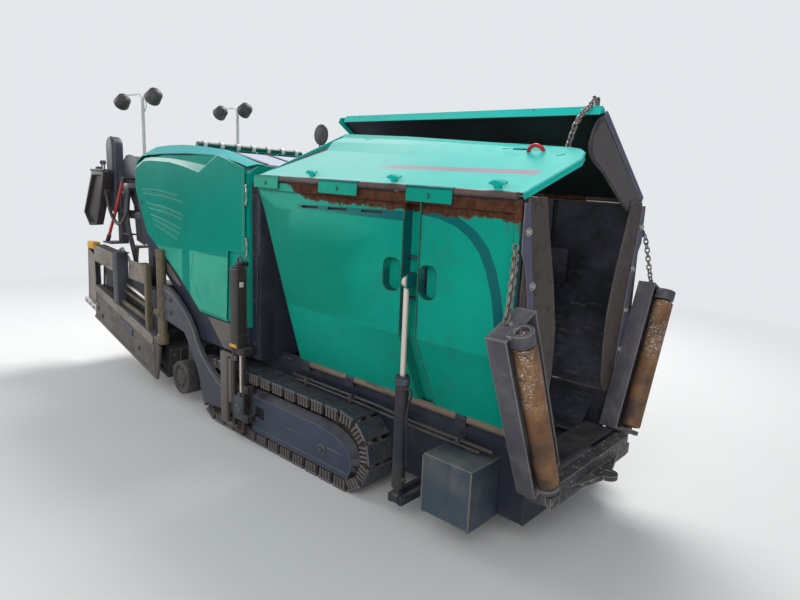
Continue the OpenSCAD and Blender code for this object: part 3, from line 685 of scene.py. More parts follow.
def door_paint():
    """Teal paint of the side doors: fresh above, paler on the ledge's upward faces, and a painted reflection
    of the sunlit ground lightening the lower panel.
    """
    s = Shade("door_paint", specular_ior_level=0.03)
    dirt = s.ramp(s.noise(4.0, 6, 0.7), 0.45, 0.8)
    base = s.mix((0.0015, 0.225, 0.165), (0.0015, 0.17, 0.125), s.ramp(s.noise(1.2, 3), 0.3, 0.7))
    # Painted reflection: the lower panel below z 1.21 is lightened as if it reflected the sunlit ground; a
    # vertical band near x = -0.53 stays dark.
    low = s.ramp(s.z + s.noise(2.0, 3) * 0.04, 1.215, 1.205) * (1.0 - s.ramp(abs(s.x + 0.53), 0.06, 0.05))
    base = s.mix(base, (0.05, 0.34, 0.235), low * s.ramp(s.noise(1.7, 4), 0.1, 0.6))
    base = s.mix(base, (0.45, 0.62, 0.56), s.ramp(s.up, 0.25, 0.45) * s.ramp(s.z, 1.65, 1.7))
    base = s.mix(base, (0.01, 0.06, 0.05), dirt * 0.2)
    chip = s.ramp(s.edges(0.004) + s.noise(40.0, 6, 0.7) * 1.1, 1.1, 1.3)
    base = s.mix(base, (0.25, 0.5, 0.42), chip * 0.5)
    return s.done(base, 0.3 + dirt * 0.2, s.noise(50.0, 4) * 0.15, 0.0006)


def hood_paint(panel):
    """Panel paint on the hood above the doors' lower edges, lightened towards pale blue by painted sky light
    where it faces up, dark paint below them.
    """
    s = Shade("hood_paint", specular_ior_level=0.06)
    covered = 1.0
    for (x1, z1), (x2, z2) in (((-1.336, 1.59), (-1.17, 1.255)), ((-1.17, 1.255), (-0.7, 0.995)),
                               ((-0.7, 0.995), (-0.37, 0.77)), ((-0.37, 0.77), (0.3, 0.76))):
        slope = (z2 - z1) / (x2 - x1)
        covered = s.ramp(s.z - s.x * slope, z1 - x1 * slope - 0.002, z1 - x1 * slope + 0.002) * covered
    dirt = s.ramp(s.noise(3.0, 6, 0.7), 0.4, 0.8)
    # Painted sky light: faces that turn upwards are lightened towards pale blue.
    roof = s.ramp(s.up, 0.3, 0.7)
    green = s.mix(s.mix(panel, darker(panel, 0.75), dirt * 0.6), (0.13, 0.42, 0.46), roof * 0.65)
    dark = s.mix((0.02, 0.026, 0.045), (0.07, 0.06, 0.055), dirt * 0.6)
    return s.done(s.mix(dark, green, covered), 0.32 + dirt * 0.15, dirt, 0.0003)


def piston_rod():
    """Clean pale piston rod with a faint oil film."""
    s = Shade("chrome", coat_weight=0.3)
    film = s.ramp(s.noise(3.0, 3, 0.5, (1, 1, 0.3)), 0.4, 0.7)
    base = s.mix((0.62, 0.56, 0.48), (0.48, 0.42, 0.35), film)
    return s.done(base, 0.22 + film * 0.14, s.noise(50.0, 3, 0.5, (1, 1, 3)), 0.0002, 0.35)


def rubber(name, value):
    """Hose cover with a fine wrap and dust."""
    s = Shade(name)
    dust = s.ramp(s.noise(9.0, 6, 0.7), 0.4, 0.75) * 0.4
    base = s.mix(value, (0.16, 0.15, 0.13), dust)
    return s.done(base, 0.55 + dust * 0.4, s.noise(140.0, 4, 0.6), 0.0006)


def lens_glass():
    """Ribbed clear lamp lens over a bright reflector."""
    s = Shade("lamp_glass", coat_weight=1.0, coat_roughness=0.05)
    ribs = s.node("ShaderNodeTexWave", {"bands_direction": "X"}, {"Vector": s.place, "Scale": 60.0})
    base = s.mix((0.55, 0.56, 0.58), (0.85, 0.86, 0.88), ribs)
    return s.done(base, 0.18 + ribs * 0.1, ribs, 0.0008, 0.4)


class PAVER_OT_finishes(bpy.types.Operator):
    """Make the materials and give them to the frame's nodes"""

    bl_idname = "paver.finishes"
    bl_label = "Finishes"

    # Which material each node of the frame wears.
    worn_by = {
        "frame_paint": "track_frames bracket_right bracket_left wing_barrel_right wing_barrel_left "
        "console tow_guides tow_sliders tow_arms",
        "bulkhead_paint": "chassis bulkhead",
        "hood_paint": "hood",
        "track_steel": "track_right track_left",
        "bar_paint": "crossbar",
        "black_paint": "apron engine mirror auger_gear screed_base",
        "hopper_steel": "hopper_floor conveyor",
        "box_paint": "ballast_boxes",
        "wing_paint": "wing_right wing_left",
        "panel_paint": "flap_right flap_left door_right door_left",
        "chrome": "wing_rod_right wing_rod_left",
        "roller_rust": "roller_right roller_left",
        "roof_sheet": "top_panel",
        "dark_green": "handrail",
        "pale_paint": "lamp_masts",
        "dirty_steel": "auger_right auger_left",
        "screed_steel": "screed_deck ext_right ext_left",
    }

    def execute(self, context):
        make_finishes(context.scene.paver_colours)
        for name, nodes in self.worn_by.items():
            for node in nodes.split():
                for slot in frame["nodes"][node].material_slots:
                    slot.material = FINISHES[name]
        return {"FINISHED"}


def hinge_line(x):
    """Height of the hinge between wing and lid at x."""
    return HINGE[2] - (x - HINGE[0]) * 0.02619


WALL = 0.628
BAND_OUT = [(1.69, 1.6), (1.8, 1.585), (1.9, 1.555), (1.98, 1.51), (2.045, 1.445), (2.09, 1.36),
            (2.125, 1.25), (2.15, 1.12), (2.16, 0.982)]
BAND_IN = [(1.69, 1.565), (1.785, 1.553), (1.88, 1.525), (1.95, 1.484), (2.01, 1.425), (2.053, 1.345),
           (2.088, 1.24), (2.112, 1.115), (2.122, 0.982)]


def wing_wall():
    """Pressed side wall of the right wing with its bent rear corner, strip and arched pressing."""
    deep, proud = -WALL, -WALL - 0.018

    def rear(x, z):
        # The rear panel stands out soon behind its tip and a little more towards the front.
        return (x, deep - 0.012 * min(1, max(0, (x - 0.54) / 0.21)) - 0.006 * max(0, (x - 0.75) / 0.82), z)

    top = {x: (x, deep, hinge_line(x) - 0.03) for x in (0.352, 1.572, 1.678, 2.2)}
    low = {x: (x, -0.47, 0.604) for x in (0.59, 1.572, 1.678, 2.122, 2.16, 2.2)}
    a, b, c = (0.356, deep, 1.662), rear(0.476, 1.519), rear(0.464, 1.438)
    d, e = rear(0.532, 1.275), rear(1.03, 0.982)
    left, strip0, strip1 = rear(0.552, 1.547), (0.69, deep, 1.579), (1.572, deep, 1.574)
    edge1, edge2 = (0.403, deep + 0.018, 1.518), (0.579, deep + 0.06, 0.955)
    ledge, corner = rear(1.572, 1.53), rear(1.572, 0.982)
    tip, crease = rear(0.75, 1.5437), rear(0.75, 1.1467)
    polygons = [
        [top[0.352], a, b, left, strip0, strip1, top[1.572]],
        [left, b, c, d, crease, tip],
        [tip, crease, e, corner, ledge],
        [left, tip, strip0],
        [tip, ledge, strip1, strip0],
        [a, edge1, b],
        [b, edge1, c],
        [d, edge2, e, crease],
        [e, edge2, low[0.59]],
        [e, low[0.59], low[1.572], corner],
    ]
    wall = sheets(polygons, (0, 0.006, 0))
    outer = [(1.678, deep, 1.6)] + [(x, deep, z) for x, z in BAND_OUT[1:]]
    inner = [(1.678, proud, 1.565)] + [(x, proud, z) for x, z in BAND_IN[1:]]
    polygons = strips(outer, inner) + [
        [(1.678, proud, 0.982)] + inner[::-1],
        [top[1.678]] + outer + [(2.2, deep, 0.982), top[2.2]],
        [(1.678, proud, 0.982), low[1.678], low[2.122], inner[-1]],
        [inner[-1], low[2.122], low[2.16], outer[-1]],
        [outer[-1], low[2.16], low[2.2], (2.2, deep, 0.982)],
    ]
    arched = sheets(polygons, (0, 0.006, 0))
    bend = [(-0.584, 0.982), (-0.43, 0.604)]
    groove = [
        plate([(-0.642, 1.64), (-0.584, 1.64), *bend, (-0.47, 0.604), (-0.642, 0.982)], "X", 1.568, 1.574),
        plate([(-0.652, 1.64), (-0.584, 1.64), *bend, (-0.474, 0.604), (-0.652, 0.982)], "X", 1.676, 1.683,
              0.002),
        plate([(-0.584, 1.64), (-0.578, 1.64), (-0.578, 0.982), (-0.424, 0.604), (-0.43, 0.604),
               (-0.584, 0.982)], "X", 1.57, 1.68),
        plate([(-0.584, 1.2), (-0.578, 1.2), (-0.578, 0.982), (-0.424, 0.604), (-0.44, 0.604), (-0.6, 0.975)],
              "X", 1.6, 1.65, 0.003),
    ]
    hollows = []
    for side, panel in (((1.45, 1.19), (1.566, 1.352)), wall), (((1.685, 1.178), (1.79, 1.338)), arched):
        outline = rounded(*side, 0.042)
        cut(panel, plate(outline, "Y", -0.7, -0.6, 0))
        rim = rounded((side[0][0] - 0.005, side[0][1] - 0.005), (side[1][0] + 0.005, side[1][1] + 0.005),
                      0.047)
        hollows.append(cut(plate(rim, "Y", -0.636, -0.59, 0), plate(outline, "Y", -0.7, -0.597, 0)))
    for start, end in ((0.79, 0.93), (1.01, 1.16), (1.27, 1.42)):
        cut(wall, plate(rounded((start, 1.556), (end, 1.567), 0.005), "Y", -0.7, -0.6, 0))
    return join([wall, arched, *groove, *hollows])


def wing_straps():
    """Green straps over the hinge pin, welded to the rail, each with a bolt."""
    made = []
    for low, high in ((0.36, 0.6), (0.96, 1.26), (1.59, 1.86)):
        middle = (low + high) / 2
        z = hinge_line(middle)
        outline = [(-0.0175, -0.058), (-0.0175, 0.002), (-0.012, 0.0125), (0, 0.0175), (0.012, 0.0125),
                   (0.0175, 0), (0.0125, -0.0125), (0, -0.0175), (-0.008, -0.0155), (-0.0115, -0.058)]
        strap = plate([(-0.64 + a, z + b) for a, b in outline], "X", low, high, 0.0015)
        for piece in (strap, bolts(0.017, [((middle, -0.6575, z - 0.028), (0, -1, 0))])):
            made.append(put(piece, turn(1.5, "Y", (middle, 0, z))))
    return join(made)


class PAVER_OT_wings(bpy.types.Operator):
    """Hopper wings: pressed walls, rails, straps, linings and front plates"""

    bl_idname = "paver.wings"
    bl_label = "Wings"

    def shells(self):
        """Shell of each wing: wall, straps, rail, front edge and the lugs of the piston rod."""
        rail = put(block((0.38, -WALL - 0.013, 1.6205), (2.195, -WALL, 1.669), 0.004), HINGE_FALL)
        front = block((2.168, -WALL - 0.014, 0.98), (2.2, -WALL, 1.64), 0.004)
        skirt = put(block((0.38, -0.632, 1.65), (2.19, -0.626, 1.6735), 0.001), HINGE_FALL)
        both_sides(skirt, "wing_{}_skirt", "rubber", "wing_{}")
        low_front = plate([(-0.642, 0.985), (-0.484, 0.606), (-0.472, 0.606), (-0.63, 0.985)], "X", 2.168,
                          2.2)
        lugs = [block((x - 0.004, -0.686, 1.22), (x + 0.004, -0.588, 1.29), 0.003) for x in (1.605, 1.645)]
        eye = rod((1.6, -0.662, 1.25), (1.65, -0.662, 1.25), 0.0125, edge=0.002)
        shell = [wing_wall(), wing_straps(), rail, front, low_front, *lugs, eye]
        both_sides(shell, "wing_{}_shell", "wing_paint", "wing_{}", ["wing_{}"], 16)

    def hinges(self):
        """Hinge tubes on the frame and the pin along the top."""
        tubes = []
        for low, high in ((0.685, 1.015), (1.085, 1.415), (1.485, 1.815), (1.885, 2.19)):
            tube = rod((low, -0.462, 0.585), (high, -0.462, 0.585), 0.0165)
            tubes += [cut(tube, rod((low - 1, -0.462, 0.585), (high + 1, -0.462, 0.585), 0.0084)),
                      block((low, -0.472, 0.588), (high, -0.46, 0.612), 0.001)]
        pin = put(rod((0.36, -0.64, 1.69), (2.17, -0.64, 1.69), 0.008, 16), HINGE_FALL)
        both_sides([*tubes, pin], "wing_{}_hinges", "brown_steel", "wing_{}")

    def linings(self):
        """Lining of the hopper: welded steel sheets with the box over the groove."""
        y, foot = -0.6195, -0.461
        lining = sheets(
            [
                [(0.36, y, 1.68), (0.472, y, 1.42), (0.545, y, 1.25), (0.99, y, 0.98), (1.56, y, 0.98),
                 (1.56, y, 1.65)],
                [(0.545, y, 1.25), (0.665, -0.562, 0.97), (0.99, y, 0.98)],
                [(0.665, -0.562, 0.97), (0.6, foot, 0.61), (1, foot, 0.61), (0.99, y, 0.98)],
                [(0.99, y, 0.98), (1, foot, 0.61), (1.56, foot, 0.61), (1.56, y, 0.98)],
                [(1.69, y, 0.98), (1.69, foot, 0.61), (2.198, foot, 0.61), (2.198, y, 0.98)],
                [(1.69, y, 0.98), (2.198, y, 0.98), (2.198, y, 1.63), (1.69, y, 1.648)],
            ],
            (0, 0.004, 0),
        )
        section = [(-0.6195, 1.655), (-0.571, 1.655), (-0.571, 0.98), (-0.416, 0.606), (-0.422, 0.606),
                   (-0.5765, 0.98), (-0.5765, 1.648), (-0.6195, 1.648)]
        box = plate(section, "X", 1.556, 1.694)
        flanks = [plate([(-0.6195, 1.655), (-0.571, 1.655), (-0.571, 0.98), (-0.416, 0.606), (-0.461, 0.606),
                         (-0.6195, 0.98)], "X", x, x + 0.006) for x in (1.556, 1.688)]
        cut(lining, block((1.44, -0.7, 1.17), (1.8, -0.5, 1.36), 0))
        cover = cut(block((1.432, -0.6195, 1.162), (1.808, -0.574, 1.368), 0.003),
                    block((1.438, -0.63, 1.168), (1.802, -0.58, 1.362), 0))
        both_sides([lining, box, *flanks, cover], "wing_{}_lining", "hopper_steel", "wing_{}")

    def fronts(self):
        """Front plates: a blue-grey one outside and a brown one further in."""
        blue = plate([(-0.64, 1.642), (-0.6, 1.642), (-0.564, 1.446), (-0.52, 1.25), (-0.487, 1),
                      (-0.45, 0.75), (-0.47, 0.68), (-0.51, 0.72), (-0.6, 0.93), (-0.56, 1.1), (-0.565, 1.25),
                      (-0.607, 1.392), (-0.64, 1.44)], "X", 2.2085, 2.2135, 0.001)
        both_sides(blue, "wing_{}_front", "blue_grey", "wing_{}")
        outline = [(-0.6, 1.66), (-0.5, 1.668), (-0.458, 1.668), (-0.43, 1.56), (-0.385, 1.43),
                   (-0.335, 1.28), (-0.285, 1.08), (-0.28, 0.9), (-0.3, 0.7), (-0.34, 0.64), (-0.47, 0.62),
                   (-0.6, 0.95), (-0.615, 1.2)]
        both_sides(plate(outline, "X", 2.2005, 2.2085, 0.0015), "wing_{}_seal", "brown_plate", "wing_{}")
        heads = bolts(0.03, [((2.2135, y, z), (1, 0, 0))
                             for y, z in ((-0.603, 1.526), (-0.541, 1.299), (-0.51, 1.07), (-0.487, 0.85))])
        both_sides(heads, "wing_{}_bolts", "zinc", "wing_{}")

    def execute(self, context):
        self.shells()
        self.hinges()
        self.linings()
        self.fronts()
        return {"FINISHED"}


def lid_place(degrees):
    """Matrix from a lid lying flat on its hinge (x, from the hinge, up) to its place on the right side."""
    return HINGE_FALL @ Matrix.Translation((0, -0.64, HINGE[2])) @ Matrix.Rotation(radians(degrees), 4, "X")


def lid_tubes():
    """Hinge tubes of a lid, lying flat."""
    tubes = []
    for low, high in ((0.606, 0.954), (1.266, 1.584), (1.866, 2.172)):
        tube = rod((low, 0, 0), (high, 0, 0), 0.0155)
        tubes.append(cut(tube, rod((low - 1, 0, 0), (high + 1, 0, 0), 0.0084, 16)))
        tubes.append(block((low, 0.007, -0.001), (high, 0.024, 0.006), 0.001))
    return tubes


def lid_hooks():
    """Hooks along a lid that lies flat."""
    hooks = []
    for x in (0.85, 1.47, 2.06):
        outline = [(x - 0.02, 0.004), (x + 0.008, 0.004), (x + 0.012, 0.018), (x + 0.044, 0.026),
                   (x + 0.04, 0.034), (x + 0.012, 0.043), (x - 0.012, 0.046), (x - 0.042, 0.034),
                   (x - 0.044, 0.026), (x - 0.02, 0.02)]
        hooks.append(plate(outline, "Y", 0.036, 0.058, 0.0025, 2))
    return hooks


class PAVER_OT_lids(bpy.types.Operator):
    """Hopper lids: pressed sheets with rims, hinge tubes, hooks, slots, handle, end plate and lid chain"""

    bl_idname = "paver.lids"
    bl_label = "Lids"

    def right_lid(self):
        """Right lid: flat field, raised ridge and a trough before the folded free edge."""
        place = lid_place(29)
        hinge = [(0.36, 0.022, 0), (2.19, 0.022, 0)]
        crease = [(0.62, 0.372, 0), (1.57, 0.322, 0), (2.06, 0.352, 0)]
        ridge = [(0.6, 0.452, 0.018), (1.47, 0.424, 0.014), (2.05, 0.372, 0)]
        trough = [(0.59, 0.548, 0.004), (1.15, 0.517, 0.004), (1.83, 0.445, 0.003), (2.06, 0.402, 0)]
        free = [(0.58, 0.58, 0.014), (1.15, 0.541, 0.012), (1.833, 0.466, 0.008), (2.12, 0.442, 0.004)]
        bend = [(2.185, 0.434, 0.004), (2.236, 0.419, 0.004), (2.272, 0.387, 0.004)]
        rim = (2.284, 0.335, 0)
        field = sheets(
            [
                [hinge[0], *crease, (2.06, 0.402, 0), rim, hinge[1]],
                *strips(crease, ridge),
                [ridge[0], ridge[1], trough[1], trough[0]],
                [ridge[1], trough[2], trough[1]],
                [ridge[1], ridge[2], trough[3], trough[2]],
                [crease[2], trough[3], ridge[2]],
                *strips(trough, free),
                [trough[3], rim, bend[2], bend[1], bend[0], free[3]],
            ],
            (0, 0, 0.005),
        )
        for slot in (
            rounded((1.905, 0.405), (1.985, 0.425), 0.005),
            [(2.157, 0.352), (2.192, 0.368), (2.19, 0.376), (2.155, 0.36)],
            [(1.85, 0.408), (1.893, 0.413), (1.893, 0.42), (1.85, 0.415)],
            [(0.82, 0.512), (0.88, 0.508), (0.88, 0.516), (0.82, 0.52)],
        ):
            cut(field, plate(slot, "Z", -0.1, 0.1, 0))
        walls = []
        border = [hinge[0], (0.58, 0.58, 0.014), *free[1:], *bend, rim, hinge[1]]
        for a, b in zip(border, border[1:]):
            push = (0, -0.004, 0) if abs(b[1] - a[1]) < 0.3 else (-0.004, 0, 0)
            walls.append(sheets([[a, b, (*b[:2], -0.026), (*a[:2], -0.026)]], push))
        roll = pipe([free[2], free[3], *bend, rim, hinge[1]], 0.0062, False, 2)
        tube = join(lid_tubes())
        panel = put(join([field, *walls, roll, *lid_hooks()]), place)
        finish(panel, "lid_right_panel", "lid_paint", "flap_right", ["flap_right"], 9)
        under = sheets([[hinge[0], (0.6, 0.565, -0.004), (2.17, 0.422, -0.004), (2.265, 0.37, -0.004),
                         (2.188, 0.03, -0.004)]], (0, 0, -0.003))
        finish(put(under, place), "lid_right_underside", "lid_underside", "flap_right")
        finish(moved(tube, place), "lid_right_hinges", "rusty_tube", "flap_right")
        finish(put(tube, FLIP @ lid_place(33)), "lid_left_hinges", "rusty_tube", "flap_left")
        upright = Matrix.Rotation(radians(12), 4, "Z") @ Matrix.Rotation(radians(90), 4, "X")
        loop = put(hoop(0.036, 0.0085, 40, 12), Matrix.Translation((2.035, 0.398, -0.002)) @ upright)
        finish(put(loop, place), "lid_right_handle", "red_paint", "flap_right")

    def left_lid(self):
        """Left lid: a deep sheet with a pale lip, dark inside and a plate across its front end."""
        place = FLIP @ lid_place(33)
        sheet = block((0.372, 0.022, 0), (2.19, 0.76, 0.006), 0.001)
        fold = plate([(0.738, 0.012), (0.742, -0.006), (0.768, -0.042), (0.774, -0.042), (0.774, 0.006)], "X",
                     0.44, 2.19, 0.001)
        for x in (0.571, 1.836):
            cut(fold, rod((x, 0.68, -0.06), (x, 0.82, 0.02), 0.007, 16))
        rear = plate([(0.022, 0), (0.022, -0.03), (0.76, -0.034), (0.765, 0)], "X", 0.372, 0.378, 0.001)
        shape = put(join([sheet, fold, rear, *lid_hooks()]), place)
        finish(shape, "lid_left_panel", "lid_paint", "flap_left", ["flap_left"], 20)
        lining = block((0.38, 0.03, -0.008), (2.18, 0.742, -0.002), 0.001)
        finish(put(lining, place), "lid_left_underside", "lid_underside", "flap_left")
        outline = [(0.03, 0), (0.03, -0.15), (0.3, -0.18), (0.558, -0.205), (0.655, -0.23), (0.72, -0.228),
                   (0.757, -0.195), (0.772, -0.13), (0.765, -0.066), (0.74, -0.02), (0.7, 0)]
        curtain = plate(outline, "X", 2.186, 2.195, 0.003, 2)
        inner = plate([(0.05, -0.02), (0.05, -0.137), (0.3, -0.168), (0.556, -0.192), (0.655, -0.213),
                       (0.71, -0.205), (0.738, -0.17), (0.748, -0.12), (0.742, -0.07), (0.722, -0.035)], "X",
                      2.195, 2.198, 0.001)
        flange = block((2.188, 0.02, -0.022), (2.2, 0.73, 0.014), 0.003)
        for piece, name, material, slot in (
            (curtain, "lid_left_curtain", "rubber", "worn_black"),
            (inner, "lid_left_end", "grey_plate", "grey"),
            (flange, "lid_left_flange", "blue_grey", "grey"),
        ):
            finish(put(piece, place), name, material, "flap_left")

    def lid_chain(self, context):
        """Chain from the left lid's corner down behind the right lid, with its lug."""
        links = chain([(2.15, 0.04, 2.13), (2.155, 0, 2.128), (2.16, -0.047, 2.09), (2.163, -0.124, 2.047),
                       (2.165, -0.185, 1.995), (2.167, -0.236, 1.91), (2.168, -0.25, 1.87),
                       (2.17, -0.262, 1.82)], context.scene.paver_sizes.chain_wire, 0.042)
        lug = block((2.142, 0.03, 2.07), (2.156, 0.062, 2.138), 0.003)
        finish([links, lug], "lid_chain", "old_chain", "flap_left", angle=60)

    def execute(self, context):
        self.right_lid()
        self.left_lid()
        self.lid_chain(context)
        return {"FINISHED"}


class PAVER_OT_rollers(bpy.types.Operator):
    """Push rollers with their folded brackets, bores, edge bolts and locking chains"""

    bl_idname = "paver.rollers"
    bl_label = "Push rollers"

    def brackets(self):
        """Each bracket, a channel that opens forwards, and its roller, a tube with a pin."""
        place = Matrix.Translation((0, -0.416, 0.32)) @ Matrix.Rotation(radians(24), 4, "X")
        top = 0.925
        # Channel that opens forwards, in its upright place.
        channel = plate([(2.216, -0.085), (2.31, -0.085), (2.31, -0.075), (2.226, -0.075), (2.226, 0.14),
                         (2.31, 0.14), (2.31, 0.15), (2.216, 0.15)], "Z", 0.085, top, 0.0025, 2)
        welded = [channel, *blocks(0.002, *[(2.224, -0.08, z, 2.309, 0.145, z + 0.012)
                                            for z in (0.085, top - 0.012)])]
        for z, deep in ((0.085, 0.024), (top - 0.054, 0.058)):
            ear = plate([(2.29, -0.05), (2.331, -0.05), (2.352, -0.044), (2.37, -0.03), (2.379, -0.01),
                         (2.379, 0.01), (2.37, 0.03), (2.352, 0.044), (2.331, 0.05), (2.29, 0.05)], "Z", z,
                        z + deep, 0.005, 2)
            welded.append(ear)
        # The upper ear has a blind bore above the roller's pin.
        cut(ear, lathe([(0, top - 0.02), (0.031, top - 0.02), (0.031, top + 0.1), (0, top + 0.1)],
                       (2.331, 0, 0), 32))
        for x in (2.222, 2.3):
            foot = plate([(-0.03, 0.086), (-0.03, 0), (-0.027, -0.012), (-0.016, -0.024), (0, -0.029),
                          (0.016, -0.024), (0.027, -0.012), (0.029, 0), (0.024, 0.086)], "X", x, x + 0.024,
                         0.003, 2)
            welded.append(cut(foot, rod((x - 0.1, 0, 0), (x + 0.1, 0, 0), 0.0145)))
        welded.append(block((2.226, -0.075, 0.6), (2.236, 0.14, 0.66), 0.003))
        welded += [rod((2.228, y, 0.1), (2.228, y, 0.9), 0.004, 8) for y in (-0.07, 0.136)]
        both_sides(put(join(welded), place), "bracket_{}_frame", "bracket_paint", "bracket_{}",
                   ["bracket_{}"])
        heads = [((2.236, y, z), (1, 0, 0)) for y in (-0.04, 0.1) for z in (0.3, 0.55)]
        heads.append(((2.262, 0.03, top), (0, 0, 1)))
        both_sides(put(bolts(0.024, heads), place), "bracket_{}_bolts", "zinc", "bracket_{}")
        # Roller: tube with closed ends and its pin.
        profile = [(0, 0.865), (0.03, 0.865), (0.034, 0.861), (0.044, 0.861), (0.051, 0.855), (0.051, 0.14),
                   (0.0495, 0.132), (0.046, 0.127), (0.034, 0.127), (0.03, 0.123), (0, 0.123)]
        roller = lathe(profile, (2.331, 0, 0), 48)
        pin = rod((2.331, 0, 0.09), (2.331, 0, 0.921), 0.012, 20, 0.002)
        both_sides(put(join([roller, pin]), place), "roller_{}_tube", "roller_rust", "roller_{}",
                   ["roller_{}"], 40)

    def lock_chains(self, context):
        """Chains that lock the brackets to the wings."""
        wire = context.scene.paver_sizes.chain_wire
        near = [chain([(2.192, -0.655, 1.475), (2.2, -0.668, 1.44), (2.232, -0.735, 1.26),
                       (2.25, -0.783, 1.172)], wire, 0.042),
                chain([(2.2, -0.662, 1.435), (2.226, -0.712, 1.32), (2.244, -0.755, 1.24),
                       (2.25, -0.773, 1.178)], wire, 0.042)]
        finish(near, "chain_right_lock", "old_chain", "bracket_right", angle=60)
        far = chain([(2.205, 0.7, 1.48), (2.225, 0.705, 1.4), (2.24, 0.73, 1.29), (2.25, 0.775, 1.18)], wire,
                    0.042)
        finish(far, "chain_left_lock", "old_chain", "bracket_left", angle=60)
        lug = cut(plate([(0.64, 1.45), (0.68, 1.465), (0.71, 1.475), (0.716, 1.49), (0.706, 1.502),
                         (0.64, 1.53)], "X", 2.19, 2.2),
                  rod((2.1, 0.701, 1.487), (2.3, 0.701, 1.487), 0.008, 16))
        finish(lug, "chain_left_lug", "wing_paint", "wing_left")

    def execute(self, context):
        self.brackets()
        self.lock_chains(context)
        return {"FINISHED"}


class PAVER_OT_hood(bpy.types.Operator):
    """Hood with its side doors: ledge, louvres, creases, hinges, roof sheet, cross tube and mirror"""

    bl_idname = "paver.hood"
    bl_label = "Hood"

    # Louvres of a door from rear to front, as (x, z) points.
    louvres = [
        [(-1.19, 1.6), (-0.97, 1.602), (-0.626, 1.573)],
        [(-1.17, 1.57), (-0.85, 1.56), (-0.55, 1.526)],
        [(-1.13, 1.5), (-0.82, 1.478), (-0.555, 1.436)],
        [(-1.09, 1.462), (-0.8, 1.44), (-0.576, 1.405)],
        [(-1.06, 1.415), (-0.79, 1.377), (-0.6, 1.335)],
        [(-1.02, 1.378), (-0.76, 1.335), (-0.61, 1.297)],
        [(-1, 1.34), (-0.76, 1.29), (-0.634, 1.25)],
    ]

    def louvre(self, points):
        """A pressed lip that fades out to both ends."""
        top = [(x, -0.6395, z + 0.006) for x, z in points]
        high = [(x, -0.6405 - out, z) for (x, z), out in zip(points, (0, 0.007, 0))]
        low = [(x, -0.6395, z - drop) for (x, z), drop in zip(points, (0.004, 0.02, 0.004))]
        return sheets(strips(top, high) + strips(high, low), (0, 0.004, 0))

    def doors(self):
        """Side doors: sheets folded along creases, louvres, seam, latch and hinges."""
        band, main = -0.6225, -0.64
        up = [(-1.302, 1.785), (-1.16, 1.838), (-1.035, 1.845), (-0.738, 1.833), (-0.505, 1.813),
              (-0.244, 1.782)]
        low = [(-1.31, 1.752), (-1.16, 1.812), (-1.037, 1.818), (-0.74, 1.806), (-0.525, 1.776),
               (-0.325, 1.735)]
        edge = [(-1.302, 1.785), (-1.1, 1.817), (-0.87, 1.852), (-0.56, 1.85), (-0.12, 1.85)]
        ups = [(x, band, z) for x, z in up]
        lows = [(x, main, z) for x, z in low]
        crest = [(x, band, z) for x, z in edge]
        front_top, front_low, knee = (0.228, main, 1.768), (0.228, main, 1.24), (0.03, main, 1.24)
        shift = (-0.075, main, 1.85)
        lip = [(x, -0.628, z) for x, z in ((-1.326, 1.59), (-1.158, 1.262), (-0.69, 1.002), (-0.362, 0.767),
                                           (0.004, 0.757))]
        fold = [(x, main, z) for x, z in ((-1.306, 1.592), (-1.14, 1.28), (-0.675, 1.024), (-0.352, 0.79),
                                          (0, 0.78))]
        polygons = [
            [crest[0], crest[1], crest[2], crest[3], crest[4], ups[5], ups[4], ups[3], ups[2], ups[1]],
            *strips(ups, lows),
            [crest[4], shift, lows[5], ups[5]],
            [shift, front_top, front_low, knee, fold[4], fold[3], (-0.39, main, 1.118),
             (-0.325, main, 1.735)],
            [lows[5], lows[4], lows[3], (-0.923, main, 1.159), (-0.39, main, 1.118)],
            [lows[3], lows[2], lows[1], lows[0], fold[0], fold[1], (-0.923, main, 1.159)],
            [fold[1], fold[2], (-0.39, main, 1.118), (-0.923, main, 1.159)],
            [fold[2], fold[3], (-0.39, main, 1.118)],
            *strips(fold, lip),
        ]
        skin = sheets(polygons, (0, 0.007, 0))
        inset = [(-0.43, 1.165), (-0.42, 1.18), (-0.4, 1.186), (0.005, 1.214), (0.018, 1.205), (0.02, 1.19),
                 (0.004, 0.81), (-0.33, 0.82), (-0.455, 1), (-0.46, 1.02)]
        cut(skin, plate(inset, "Y", -0.66, -0.6362, 0))
        ribs = [self.louvre(points) for points in self.louvres]
        bosses = []
        for z in (1.23, 1.56):
            sleeve = rod((0.242, -0.63, z + 0.029), (0.242, -0.63, z + 0.061), 0.009)
            bosses.append(cut(sleeve, rod((0.242, -0.63, z), (0.242, -0.63, z + 0.1), 0.0043, 16)))
            bosses.append(block((0.214, -0.636, z + 0.029), (0.236, -0.627, z + 0.061), 0.002))
        seam = plate([(0.205, 1.25), (0.211, 1.25), (0.211, 1.73), (0.205, 1.731)], "Y", -0.6425, -0.638,
                     0.001)
        latch = rod((-1.22, -0.646, 1.5), (-1.22, -0.638, 1.5), 0.014, 24, 0.002)
        both_sides([skin, *ribs, *bosses, seam], "door_{}_skin", "door_paint", "door_{}",
                   ["door_{}"], 14)
        both_sides(latch, "door_{}_latch", "rubber", "door_{}")
        leaves = []
        for z in (1.23, 1.56):
            leaves.append(block((0.236, -0.6375, z - 0.02), (0.2505, -0.632, z + 0.11), 0.002))
            leaves.append(bolts(0.013, [((0.243, -0.6375, z + dz), (0, -1, 0)) for dz in (-0.008, 0.098)]))
        both_sides(leaves, "door_{}_hinge", "zinc", "chassis")

